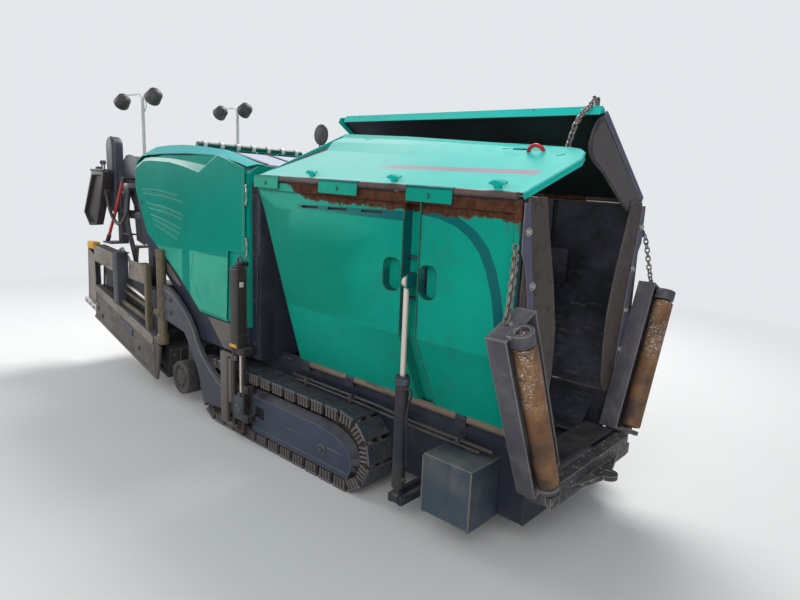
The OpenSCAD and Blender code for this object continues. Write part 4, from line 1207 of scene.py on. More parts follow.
    def roof(self):
        """Roof edges, a sloped facet per side that rises over the hood, and the rear cover and strips."""
        stations = [(-1.313, 1.73, 1.78), (-1.295, 1.81, 1.86), (-1.2, 1.857, 1.905), (-1.1, 1.865, 1.926),
                    (-0.87, 1.871, 1.935), (-0.67, 1.871, 1.933), (-0.5, 1.869, 1.924), (-0.35, 1.862, 1.912),
                    (-0.166, 1.855, 1.893), (0, 1.83, 1.855), (0.138, 1.805, 1.822), (0.249, 1.78, 1.797)]
        outer, crest, inner = [[(x, y, levels[level] + drop) for x, *levels in stations]
                               for y, level, drop in ((-0.629, 0, 0), (-0.555, 1, 0), (-0.502, 1, -0.004))]
        facets = sheets(strips(outer, crest) + strips(crest, inner), (0, 0, -0.006))
        both_sides(facets, "roof_{}_edge", "hood_paint", "chassis", angle=20)
        ends = [(x, high - 0.004) for x, _, high in stations[:5]] + [(-0.645, 1.927)]
        rear_cover = sheets(strips(*[[(x, y, z) for x, z in ends] for y in (-0.5, 0.5)]), (0, 0, -0.006))
        finish(rear_cover, "roof_rear", "hood_paint", "chassis", angle=20)
        run = ((-0.64, 1.9095), (-0.16, 1.88), (0.246, 1.797))
        covers = []
        for y, wide in ((-0.5, 0.03), (0.47, 0.03), (-0.2, 0.02), (0.16, 0.02)):
            for (x1, z1), (x2, z2) in zip(run, run[1:]):
                covers.append([(x1, y, z1), (x1, y + wide, z1), (x2, y + wide, z2), (x2, y, z2)])
        finish(sheets(covers, (0, 0, 0.005)), "roof_strips", "dark_green", "chassis")
        heads = [(x, y) for x in (-0.55, -0.3) for y in (-0.485, -0.19, 0.17, 0.485)]
        screws = bolts(0.016, [((x, y, 1.9 - (x + 0.4) * 0.0625), (0, 0, 1)) for x, y in heads])
        finish(screws, "roof_bolts", "zinc", "chassis")

    def cross_tube(self):
        """Tube across the roof in its clamps."""
        clamps = []
        for y in (-0.4, -0.26, -0.12, 0.02, 0.16, 0.3, 0.44):
            strap = rod((-0.7, y, 1.945), (-0.7, y + 0.03, 1.945), 0.0335, 32, 0.003)
            cut(strap, rod((-0.7, y - 1, 1.945), (-0.7, y + 1, 1.945), 0.0245))
            clamps += [strap, block((-0.716, y, 1.905), (-0.684, y + 0.03, 1.921), 0.002)]
        finish(clamps, "tube_clamps", "pale_paint", "chassis")
        tube = lathe([(0, -0.44), (0.02, -0.44), (0.0238, -0.436), (0.0238, 0.516), (0.02, 0.52), (0, 0.52)],
                     (-0.7, 0, 1.945), 32, "Y")
        finish(tube, "cross_tube", "dark_green", "chassis", ["handrail"], 40)

    def mirror(self):
        """Round mirror on its stalk."""
        shell = lathe([(0, -0.018), (0.03, -0.0165), (0.06, -0.012), (0.079, -0.002), (0.0825, 0.003),
                       (0.0825, 0.0105), (0.078, 0.007), (0.06, -0.001), (0.03, -0.004), (0, -0.005)],
                      (-0.366, 0.456, 2.09), 40, "Y")
        stalk = pipe([(-0.366, 0.449, 1.895), (-0.366, 0.449, 1.96), (-0.366, 0.452, 2.06),
                      (-0.366, 0.456, 2.1)], 0.0075, True, 4)
        foot = lathe([(0, 1.893), (0.03, 1.893), (0.03, 1.899), (0.013, 1.905), (0.012, 1.925), (0, 1.925)],
                     (-0.366, 0.449, 0), 24)
        finish([shell, stalk, foot], "mirror_shell", "rubber", "chassis", ["mirror"], 40)
        glass = lathe([(0, 0), (0.075, 0), (0.075, 0.002), (0, 0.002)], (-0.366, 0.4555, 2.09), 40, "Y")
        finish(glass, "mirror_glass", "mirror_glass", "chassis")

    def execute(self, context):
        self.doors()
        self.roof()
        self.cross_tube()
        self.mirror()
        return {"FINISHED"}


def shoe_pattern(pitch):
    """Track shoe with bolt holes, and its links with lugs; top along +Z, running along X."""
    half = pitch / 2 - 0.0055
    shoe = block((-half + 0.002, -0.0965, -0.016), (half - 0.002, 0.0965, 0), 0.0045, 1)
    hole = 0.0085
    for x, y in ((-0.03, -0.058), (-0.03, 0.058), (0.03, -0.058), (0.03, 0.058)):
        cut(shoe, block((x - hole, y - hole, -0.0125), (x + hole, y + hole, 0.02), 0))
    links = [block((-half - 0.002, y - 0.012, -0.048), (half + 0.002, y + 0.012, -0.0155), 0.004, 1)
             for y in (-0.034, 0.034)]
    lugs = [block((x - 0.0065, side * 0.083 - 0.013, -0.068), (x + 0.0065, side * 0.083 + 0.013, -0.0155),
                  0.003, 1) for x in (-0.038, -0.013, 0.012, 0.037) for side in (-1, 1)]
    return shoe, join([*links, *lugs])


class PAVER_OT_tracks(bpy.types.Operator):
    """Tracks with shoes, links, rollers, idlers, cover plates and grease points"""

    bl_idname = "paver.tracks"
    bl_label = "Tracks"

    def loops(self, context):
        """Shoes and links laid along each loop, with the wheels and the beam inside it."""
        # Axles of the end wheels, height of both and plane through the loop's middle.
        back, front, radius, middle = -0.13, 1.155, 0.232, -0.5425
        base, shoe_thick = 1.285, 0.016
        arc = pi * (radius - shoe_thick)
        count = context.scene.paver_sizes.shoes
        pitch = 2 * (base + arc) / count
        plate_pattern, link_pattern = shoe_pattern(pitch)
        places = []
        for number in range(count):
            along = (number + 0.5) * pitch
            if along < base:
                x, z, angle = back + along, 2 * radius, 0.0
            elif along < base + arc:
                angle = (along - base) / arc * pi
                x, z = front + radius * sin(angle), radius + radius * cos(angle)
            elif along < 2 * base + arc:
                x, z, angle = front - (along - base - arc), 0, pi
            else:
                angle = pi + (along - 2 * base - arc) / arc * pi
                x, z = back + radius * sin(angle), radius + radius * cos(angle)
            places.append(Matrix.Translation((x, middle, z)) @ Matrix.Rotation(angle, 4, "Y"))
        both_sides(repeat(plate_pattern, places), "track_{}_shoes", "track_steel", "chassis",
                   ["track_{}"])
        both_sides(repeat(link_pattern, places), "track_{}_links", "link_steel", "chassis")
        # Wheels inside the loop.
        wheels = []
        for x, wide in ((front, 0.035), (back, 0.03)):
            profile = [(0, -wide), (0.06, -wide), (0.075, -wide + 0.012), (0.13, -wide + 0.014),
                       (0.15, -wide), (0.172, -wide), (0.18, -wide + 0.006), (0.18, wide - 0.006),
                       (0.172, wide), (0.15, wide), (0.13, wide - 0.014), (0.075, wide - 0.012), (0.06, wide),
                       (0, wide)]
            wheels.append(lathe(profile, (x, middle, radius), 48, "Y"))
        for x in (0.12, 0.33, 0.54, 0.75, 0.96):
            profile = [(0, -0.045), (0.03, -0.045), (0.047, -0.042), (0.048, -0.026), (0.038, -0.022),
                       (0.038, 0.022), (0.048, 0.026), (0.047, 0.042), (0.03, 0.045), (0, 0.045)]
            wheels.append(lathe(profile, (x, middle, 0.1), 28, "Y"))
        both_sides(wheels, "track_wheels_{}", "dirty_steel", "chassis", angle=40)
        inner = [
            block((-0.06, -0.62, 0.15), (1.12, -0.475, 0.33), 0.006),
            *blocks(0.004, (0.06, -0.5725, 0.33, 0.14, -0.5125, 0.4),
                    (0.56, -0.5725, 0.33, 0.64, -0.5125, 0.4), (0.1, -0.475, 0.17, 0.9, -0.44, 0.3)),
            rod((front, -0.62, radius), (front, -0.447, radius), 0.04),
            rod((back, -0.6, radius), (back, -0.44, radius), 0.11, 40),
        ]
        both_sides(inner, "track_beam_{}", "dirty_steel", "chassis", ["track_frames"])

    def covers(self):
        """Cover plate with a folded top, a straight lower edge and a round nose."""
        rim = [(0.3, 0.325), (0.97, 0.325), (1.08, 0.314), (1.16, 0.292), (1.217, 0.26), (1.246, 0.214),
               (1.25, 0.178), (1.244, 0.14), (1.217, 0.082)]
        cover = plate([*rim, (1.2, 0.078), (0.3, 0.078)], "Y", -0.636, -0.622, 0.003, 2)
        cut(cover, plate(rounded((0.322, 0.18), (0.435, 0.262), 0.006), "Y", -0.7, -0.6, 0))
        lip = pipe([(x, -0.637, z - 0.003) for x, z in rim], 0.004, False, 2)
        crest = [(0.3, 0.36), (0.96, 0.36), (1.09, 0.35), (1.185, 0.324), (1.253, 0.28), (1.285, 0.222),
                 (1.29, 0.176), (1.276, 0.13), (1.222, 0.08)]
        fold = sheets(strips([(x, -0.635, z) for x, z in rim], [(x, -0.598, z) for x, z in crest]),
                      (0, 0, -0.004))
        ribs = [block((start, -0.6405, z - 0.003), (end, -0.634, z + 0.003), 0.0025)
                for start, end, z in ((0.67, 0.78, 0.217), (1.045, 1.185, 0.211), (0.3, 1.225, 0.112))]
        # Painted shade: a near-black sheet right behind the cover's window darkens what shows through it.
        window_shade_sheet = block((0.31, -0.6225, 0.17), (0.445, -0.6203, 0.27), 0.001)
        both_sides([cover, lip, *ribs], "track_cover_{}", "cover_paint", "chassis", angle=24)
        both_sides(fold, "track_rim_{}", "bulkhead_paint", "chassis", angle=40)
        both_sides(window_shade_sheet, "track_window_{}", "lid_underside", "chassis")
        flange = lathe([(0, -0.02), (0.008, -0.02), (0.012, -0.014), (0.012, -0.006), (0.03, -0.006),
                        (0.036, -0.003), (0.036, 0), (0, 0)], (1, -0.636, 0.185), 28, "Y")
        nuts = bolts(0.014, [((1.0 + 0.026 * cos(a), -0.6415, 0.185 + 0.026 * sin(a)), (0, -1, 0))
                             for a in (0.8, 2.4, 4, 5.5)])
        both_sides([flange, nuts], "track_grease_{}", "track_steel", "chassis")

    def pipes(self):
        """Pipes and a hose rail in the gap beside the hopper."""
        pipes = [
            pipe([(0.55, -0.49, 0.5), (1.3, -0.49, 0.5), (1.55, -0.5, 0.492), (2.06, -0.5, 0.488)], 0.011,
                 False, 3),
            pipe([(0.62, -0.515, 0.49), (1.2, -0.515, 0.486), (1.6, -0.522, 0.478), (2, -0.522, 0.476)],
                 0.008, False, 3),
        ]
        clips = [block((x, -0.53, 0.47), (x + 0.02, -0.46, 0.512), 0.003) for x in (0.7, 1.1, 1.48, 1.86)]
        both_sides([*pipes, *clips], "frame_pipes_{}", "pipe_steel", "chassis", angle=50)

    def execute(self, context):
        self.loops(context)
        self.covers()
        self.pipes()
        return {"FINISHED"}


class PAVER_OT_cylinders(bpy.types.Operator):
    """Wing cylinders and levelling cylinders with their rails, collars and fittings"""

    bl_idname = "paver.cylinders"
    bl_label = "Cylinders"

    def wing_cylinders(self):
        """Cylinders that fold the wings."""
        x, y = 1.625, -0.662
        profile = [(0, 0.205), (0.027, 0.205), (0.033, 0.212), (0.0335, 0.3), (0.0335, 0.748), (0.0365, 0.75),
                   (0.0365, 0.782), (0.034, 0.79), (0.0146, 0.79), (0.0146, 0.786), (0, 0.786)]
        barrel = lathe(profile, (x, y, 0), 40)
        foot = cut(lathe([(0, -0.019), (0.027, -0.019), (0.03, -0.016), (0.03, 0.016), (0.027, 0.019),
                          (0, 0.019)], (x, y, 0.15), 32, "X"),
                   rod((x - 1, y, 0.15), (x + 1, y, 0.15), 0.0123))
        neck = block((x - 0.018, y - 0.019, 0.16), (x + 0.018, y + 0.019, 0.21), 0.004)
        ports = [rod((x + 0.03, y - 0.006, z), (x + 0.052, y - 0.006, z), 0.009, 6, 0.001)
                 for z in (0.26, 0.735)]
        line = pipe([(x + 0.05, y - 0.006, 0.735), (x + 0.062, y - 0.006, 0.728),
                     (x + 0.062, y - 0.004, 0.69), (x + 0.045, y, 0.66), (x + 0.043, y, 0.4),
                     (x + 0.043, y + 0.004, 0.33)], 0.005, True, 3)
        both_sides([barrel, foot, neck, *ports, line], "wing_{}_barrel", "barrel_paint", "wing_barrel_{}",
                   ["wing_barrel_{}"], 40)
        rings = lathe([(0.0372, 0.752), (0.0375, 0.756), (0.0375, 0.776), (0.0372, 0.78), (0.036, 0.78),
                       (0.036, 0.752)], (x, y, 0), 40)
        nut = bolts(0.022, [((x + 0.034, y - 0.012, 0.765), (1, -0.3, 0))])
        both_sides([rings, nut], "wing_{}_gland", "cover_paint", "wing_barrel_{}")
        rod_piece = lathe([(0, 0.5), (0.0135, 0.5), (0.014, 0.503), (0.014, 1.222), (0, 1.222)], (x, y, 0),
                          32)
        eye = cut(lathe([(0, -0.0125), (0.023, -0.0125), (0.026, -0.0105), (0.026, 0.0105), (0.023, 0.0125),
                         (0, 0.0125)], (x, y, 1.25), 36, "X"), rod((x - 1, y, 1.25), (x + 1, y, 1.25), 0.013))
        both_sides([rod_piece, eye], "wing_{}_rod", "chrome", "wing_rod_{}", ["wing_rod_{}"],
                   40)

    def level_cylinders(self):
        """Levelling cylinders at the tow points."""
        x, y = 0.23, -0.674
        tube = cut(block((x - 0.043, y - 0.05, 0.645), (x + 0.043, y + 0.02, 1.15), 0.007, 3),
                   rod((x, y, 0.5), (x, y, 1.1), 0.0097))
        caps = [block((x - 0.036, y - 0.043, 1.149), (x + 0.036, y + 0.015, 1.168), 0.004)]
        caps += blocks(0.002, *[(x - 0.045, y - 0.052, z, x + 0.045, y + 0.021, z + 0.006)
                                for z in (0.72, 1.09)])
        both_sides([tube, *caps], "level_{}_barrel", "brown_black", "chassis", angle=40)
        both_sides(block((x + 0.042, y - 0.033, 1.035), (x + 0.0445, y - 0.003, 1.068), 0.001),
                   "level_{}_plate", "pale_paint", "chassis")
        posts = [block((0.02, y - 0.026, 0.08), (0.1, y - 0.004, 0.56), 0.005),
                 *blocks(0.004, (0.115, y - 0.024, 0.24, 0.15, y - 0.006, 0.56),
                         (0.02, y - 0.024, 0.54, 0.2, y - 0.004, 0.575),
                         (0.02, y - 0.024, 0.08, 0.2, y - 0.004, 0.1))]
        both_sides(posts, "level_{}_posts", "post_paint", "chassis")
        upright = Matrix.Translation((x, y, 1.196)) @ Matrix.Rotation(radians(90), 4, "X")
        loop = put(hoop(0.023, 0.007, 32, 10), upright)
        both_sides(loop, "level_{}_ring", "track_steel", "chassis", angle=60)
        collar = block((x - 0.048, y - 0.055, 0.642), (x + 0.03, y - 0.03, 0.664), 0.003)
        both_sides(collar, "level_{}_collar", "yellow_paint", "chassis")
        out, back = y - 0.026, y - 0.002
        rails = [
            *blocks(0.004, (x - 0.065, out, 0.06, x - 0.045, back, 0.59),
                    (x + 0.045, out, 0.06, x + 0.065, back, 0.59),
                    (x - 0.065, out, 0.06, x + 0.065, back, 0.08)),
            *blocks(0.004, *[(x + 0.065, out, z, x + 0.11, back, z + 0.05) for z in (0.15, 0.35)]),
            *blocks(0.003, *[(x + 0.09, back, z, x + 0.11, -0.64, z + 0.05) for z in (0.15, 0.35)]),
            cut(block((x - 0.065, y - 0.026, 0.59), (x + 0.065, -0.62, 0.6385), 0.005),
                rod((x, y, 0.5), (x, y, 0.7), 0.0097)),
            block((x - 0.03, y - 0.016, 1.16), (x + 0.015, -0.62, 1.188), 0.003),
        ]
        spots = [(dx, z) for dx in (-0.045, 0.045) for z in (0.605, 0.625)] + [(0.09, 0.175), (0.09, 0.375)]
        screws = bolts(0.018, [((x + dx, out, z), (0, -1, 0)) for dx, z in spots])
        both_sides([*rails, screws], "level_{}_rails", "brown_black", "chassis", ["tow_guides"])
        slide = [
            block((x - 0.0447, y - 0.025, 0.15), (x + 0.0447, y - 0.003, 0.31), 0.004),
            rod((x, y - 0.003, 0.22), (x, y + 0.024, 0.22), 0.02, 32),
            block((x - 0.012, y - 0.022, 0.31), (x + 0.012, y + 0.008, 0.332), 0.003),
            lathe([(0, -0.012), (0.03, -0.012), (0.034, -0.008), (0.034, 0), (0, 0)], (x, y - 0.025, 0.22),
                  28, "Y"),
        ]
        both_sides(slide, "level_{}_slide", "track_steel", "tow_sliders", ["tow_sliders"])
        shaft = lathe([(0, 0.33), (0.009, 0.33), (0.009, 0.8), (0, 0.8)], (x, y, 0), 24)
        both_sides(shaft, "level_{}_rod", "chrome", "tow_sliders", angle=40)

    def execute(self, context):
        self.wing_cylinders()
        self.level_cylinders()
        return {"FINISHED"}


RAISED = Matrix.Translation((-0.946, 0, 0.12)) @ Matrix.Rotation(radians(14), 4, "Y")


def raised(edge, *boxes):
    """Rounded boxes of the screed, drawn level, in their raised places."""
    return [put(made, RAISED) for made in blocks(edge, *boxes)]


def hose(name, knots, thick, material):
    """Free hose held at both ends, along a smooth line through the knots."""
    line = []
    spots = [Vector(k) for k in (knots[0], *knots, knots[-1])]
    for a, b, c, d in zip(spots, spots[1:], spots[2:], spots[3:]):
        for step in range(6):
            t = step / 6
            bent = (2 * a - 5 * b + 4 * c - d) * t ** 2 + (3 * b - a - 3 * c + d) * t ** 3
            line.append(0.5 * (2 * b + (c - a) * t + bent))
    line.append(spots[-1])
    long = sum((b - a).length for a, b in zip(line, line[1:]))
    piece = pipe(line, thick / 2, True, 3, 2)
    finish(piece, name, material, "chassis", angle=60)


class PAVER_OT_rear(bpy.types.Operator):
    """Operator's console with its housing, hoses and connectors, and the lamp masts"""

    bl_idname = "paver.rear"
    bl_label = "Console and lamps"

    def crown(self, half, foot):
        """Outline of the console's upright hood, round above and straight down to its foot."""
        x, z = -2.075, 1.96
        arch = [(x + half * cos(radians(a)), z + half * sin(radians(a))) for a in range(0, 181, 12)]
        return arch + [(x - half, foot), (x + half, foot)]

    def console_frame(self):
        """Posts, brackets and side plates that carry the console."""
        welded = []
        for y in (-0.45, 0.45):
            welded.append(block((-1.44, y - 0.05, 0.79), (-1.36, y + 0.05, 1.7497), 0.006))
            welded.append(block((-1.6, y - 0.045, 1.7), (-1.43, y + 0.045, 1.7497), 0.005))
            welded.append(block((-1.37, y - 0.045, 1.49), (-1.3305, y + 0.045, 1.61), 0.004))
        welded += blocks(0.004, (-1.44, -0.41, 1.5, -1.4, 0.41, 1.56),
                         (-2.08, -0.578, 1.5, -2.03, -0.48, 1.56))
        welded.append(block((-1.9, -0.5, 1.34), (-1.43, -0.3, 1.4), 0.005))
        welded.append(block((-2.05, -0.49, 1.1), (-1.97, -0.43, 1.75), 0.006))
        welded.append(block((-2.15, -0.59, 1.1), (-1.97, -0.43, 1.115), 0.003))
        welded.append(bolts(0.024, [((-1.4, -0.5, z), (0, -1, 0)) for z in (0.84, 0.92, 1.35, 1.53)]))
        arc = [(-1.99, 1.45), (-1.99, 1.74), (-1.955, 1.83), (-1.89, 1.878), (-1.82, 1.885), (-1.7, 1.862),
               (-1.62, 1.81), (-1.58, 1.72), (-1.56, 1.5), (-1.52, 1.15), (-1.6, 1.12), (-1.74, 1.15),
               (-1.77, 1.45), (-1.86, 1.56)]
        welded.append(plate(arc, "Y", -0.462, -0.45, 0.003, 2))
        inner = [(-1.99, 1.45), (-1.99, 1.74), (-1.82, 1.885), (-1.62, 1.81), (-1.6, 1.5)]
        welded.append(plate(inner, "Y", -0.31, -0.3, 0.003))
        crest = ((-1.985, 1.74), (-1.89, 1.875), (-1.72, 1.866), (-1.6, 1.79))
        near, far = [[(x, y, z) for x, z in crest] for y in (-0.46, -0.3)]
        welded.append(sheets(strips(near, far), (0, 0, -0.006)))
        finish(welded, "console_frame", "frame_paint", "chassis", ["console"])

    def console(self):
        """The console's hood, desk, levers and button."""
        dome = plate(self.crown(0.078, 1.38), "Y", -0.53, -0.43, 0.025, 4)
        rim = plate(self.crown(0.082, 1.6), "Y", -0.51, -0.5, 0.003, 2)
        finish([dome, rim], "console_hood", "grey_cover", "chassis", angle=40)
        body = [(-2.2, 1.735), (-1.94, 1.73), (-1.96, 1.65), (-2.05, 1.43), (-2.15, 1.26), (-2.31, 1.245),
                (-2.43, 1.363)]
        shell = plate(body, "Y", -0.64, -0.575, 0.006, 2)
        cut(shell, plate([(-2.185, 1.7), (-1.975, 1.7), (-1.99, 1.65), (-2.075, 1.45), (-2.17, 1.28),
                          (-2.3, 1.27), (-2.405, 1.365)], "Y", -0.7, -0.615, 0))
        cap = block((-2.215, -0.646, 1.733), (-1.925, -0.565, 1.752), 0.006)
        levers = [rod((x, -0.6, 1.75), (x, -0.6, 1.8), 0.006, 12) for x in (-2.06, -2.01)]
        knobs = [lathe([(0, 1.79), (0.012, 1.792), (0.017, 1.805), (0.014, 1.822), (0, 1.828)], (x, -0.6, 0),
                       16) for x in (-2.06, -2.01)]
        button = lathe([(0, 1.75), (0.024, 1.75), (0.024, 1.766), (0.018, 1.774), (0, 1.774)],
                       (-2.14, -0.6, 0), 20)
        finish(shell, "console_box", "brown_black", "chassis")
        finish(cap, "console_cap", "grey_cover", "chassis")
        finish([*levers, *knobs], "console_levers", "rubber", "chassis", angle=50)
        finish(button, "console_button", "roller_rust", "chassis", angle=40)

    def hoses(self):
        """Valve block, hose bundle, the two free hoses and their sockets."""
        tank = [block((-1.88, -0.5, 1.52), (-1.8, -0.42, 1.6), 0.004)]
        tank += [rod((-1.86 + 0.03 * i, -0.5, 1.56), (-1.86 + 0.03 * i, -0.54, 1.56), 0.009, 12, 0.002)
                 for i in range(3)]
        tank.append(block((-1.83, -0.53, 1.6), (-1.72, -0.45, 1.64), 0.004))
        finish(tank, "valve_block", "zinc", "chassis")
        lines = [pipe([(-1.8 + 0.022 * i, -0.5, 1.6), (-1.81 + 0.024 * i, -0.52, 1.45),
                       (-1.78 + 0.02 * i, -0.53, 1.3), (-1.76 + 0.018 * i, -0.5, 1.1),
                       (-1.76 + 0.015 * i, -0.46, 0.9), (-1.74 + 0.015 * i, -0.42, 0.72)], 0.01, True, 3, 4)
                 for i in range(4)]
        ties = [block((-1.82, -0.545, z), (-1.68, -0.485, z + 0.012), 0.004) for z in (1.4, 1.2)]
        finish([*lines, *ties], "hose_bundle", "rubber", "chassis", angle=60)
        red = [(-1.74, -0.56, 1.66), (-1.8, -0.56, 1.57), (-1.87, -0.56, 1.46), (-1.945, -0.56, 1.35),
               (-2.02, -0.56, 1.25), (-2.085, -0.56, 1.16)]
        hose("hose_red", red, 0.026, "red_hose")
        loop = [(-1.985, -0.605, 1.55), (-1.965, -0.605, 1.5), (-1.93, -0.605, 1.42), (-1.87, -0.605, 1.345),
                (-1.79, -0.605, 1.3), (-1.715, -0.604, 1.297), (-1.65, -0.6, 1.335), (-1.615, -0.59, 1.4),
                (-1.61, -0.58, 1.48), (-1.61, -0.57, 1.57)]
        hose("hose_black", loop, 0.028, "rubber")
        sockets = [rod((-1.735, -0.56, 1.648), (-1.715, -0.56, 1.69), 0.018, 12, 0.002),
                   rod((-1.72, -0.565, 1.675), (-1.72, -0.455, 1.675), 0.01, 12),
                   block((-2.04, -0.62, 1.53), (-1.965, -0.585, 1.58), 0.004),
                   rod((-1.61, -0.5705, 1.55), (-1.61, -0.5705, 1.605), 0.019, 12, 0.002),
                   rod((-1.61, -0.575, 1.59), (-1.61, -0.455, 1.59), 0.011, 12),
                   rod((-2.075, -0.56, 1.175), (-2.12, -0.56, 1.113), 0.019, 12, 0.002)]
        finish(sockets, "hose_sockets", "pipe_steel", "chassis")

    def lamps(self):
        """Lamp masts with their lamps."""
        for side, heads in ((-1, ((-1.95, 2.33), (-1.36, 2.33))), (1, ((-1.86, 2.34), (-1.44, 2.34)))):
            y, name = side * 0.445, "right" if side < 0 else "left"
            mast = lathe([(0, 1.75), (0.03, 1.75), (0.03, 1.756), (0.014, 1.762), (0.014, 2.325), (0, 2.33)],
                         (-1.56, y, 0), 24)
            arms = [pipe([(-1.56, y, 2.32), (-1.6, y, 2.36), (-1.72, y, 2.372),
                          (heads[0][0] + 0.06, y, 2.372), (heads[0][0] + 0.02, y, 2.36)], 0.006, True, 3, 5),
                    pipe([(-1.56, y, 2.31), (-1.53, y, 2.35), (-1.48, y, 2.37),
                          (heads[1][0] - 0.03, y, 2.36)], 0.006, True, 3, 5),
                    pipe([(-1.56, y, 2.2), (-1.54, y - side * 0.02, 2.27), (-1.5, y, 2.34),
                          (heads[1][0] - 0.04, y, 2.34)], 0.004, True, 2, 5)]
            finish([mast, *arms], "mast_" + name, "pale_paint", "chassis", ["lamp_masts"], 50)
            cups, panes = [], []
            for x, z in heads:
                aim = Matrix.Translation((x, y, z)) @ Matrix.Rotation(radians(62), 4, "Y")
                aim = aim @ Matrix.Rotation(pi, 4, "X")
                cup = [(0, -0.075), (0.035, -0.07), (0.055, -0.045), (0.06, 0), (0.064, 0.02), (0.064, 0.03),
                       (0.056, 0.03), (0.05, 0.012), (0, 0.008)]
                pane = [(0, 0.014), (0.052, 0.014), (0.045, 0.022), (0, 0.026)]
                cups.append(put(lathe(cup, (0, 0, 0), 28), aim))
                panes.append(put(lathe(pane, (0, 0, 0), 28), aim))
            plug = rod((-1.49, y, 2.315), (-1.49, y, 2.36), 0.016, 16, 0.003)
            finish(cups, "lamps_" + name, "rubber", "chassis", angle=50)
            finish(panes, "lamp_glass_" + name, "lamp_glass", "chassis", angle=50)
            finish(plug, "lamp_plug_" + name, "pale_paint" if side < 0 else "dark_green", "chassis",
                   angle=50)

    def execute(self, context):
        self.console_frame()
        self.console()
        self.hoses()
        self.lamps()
        return {"FINISHED"}


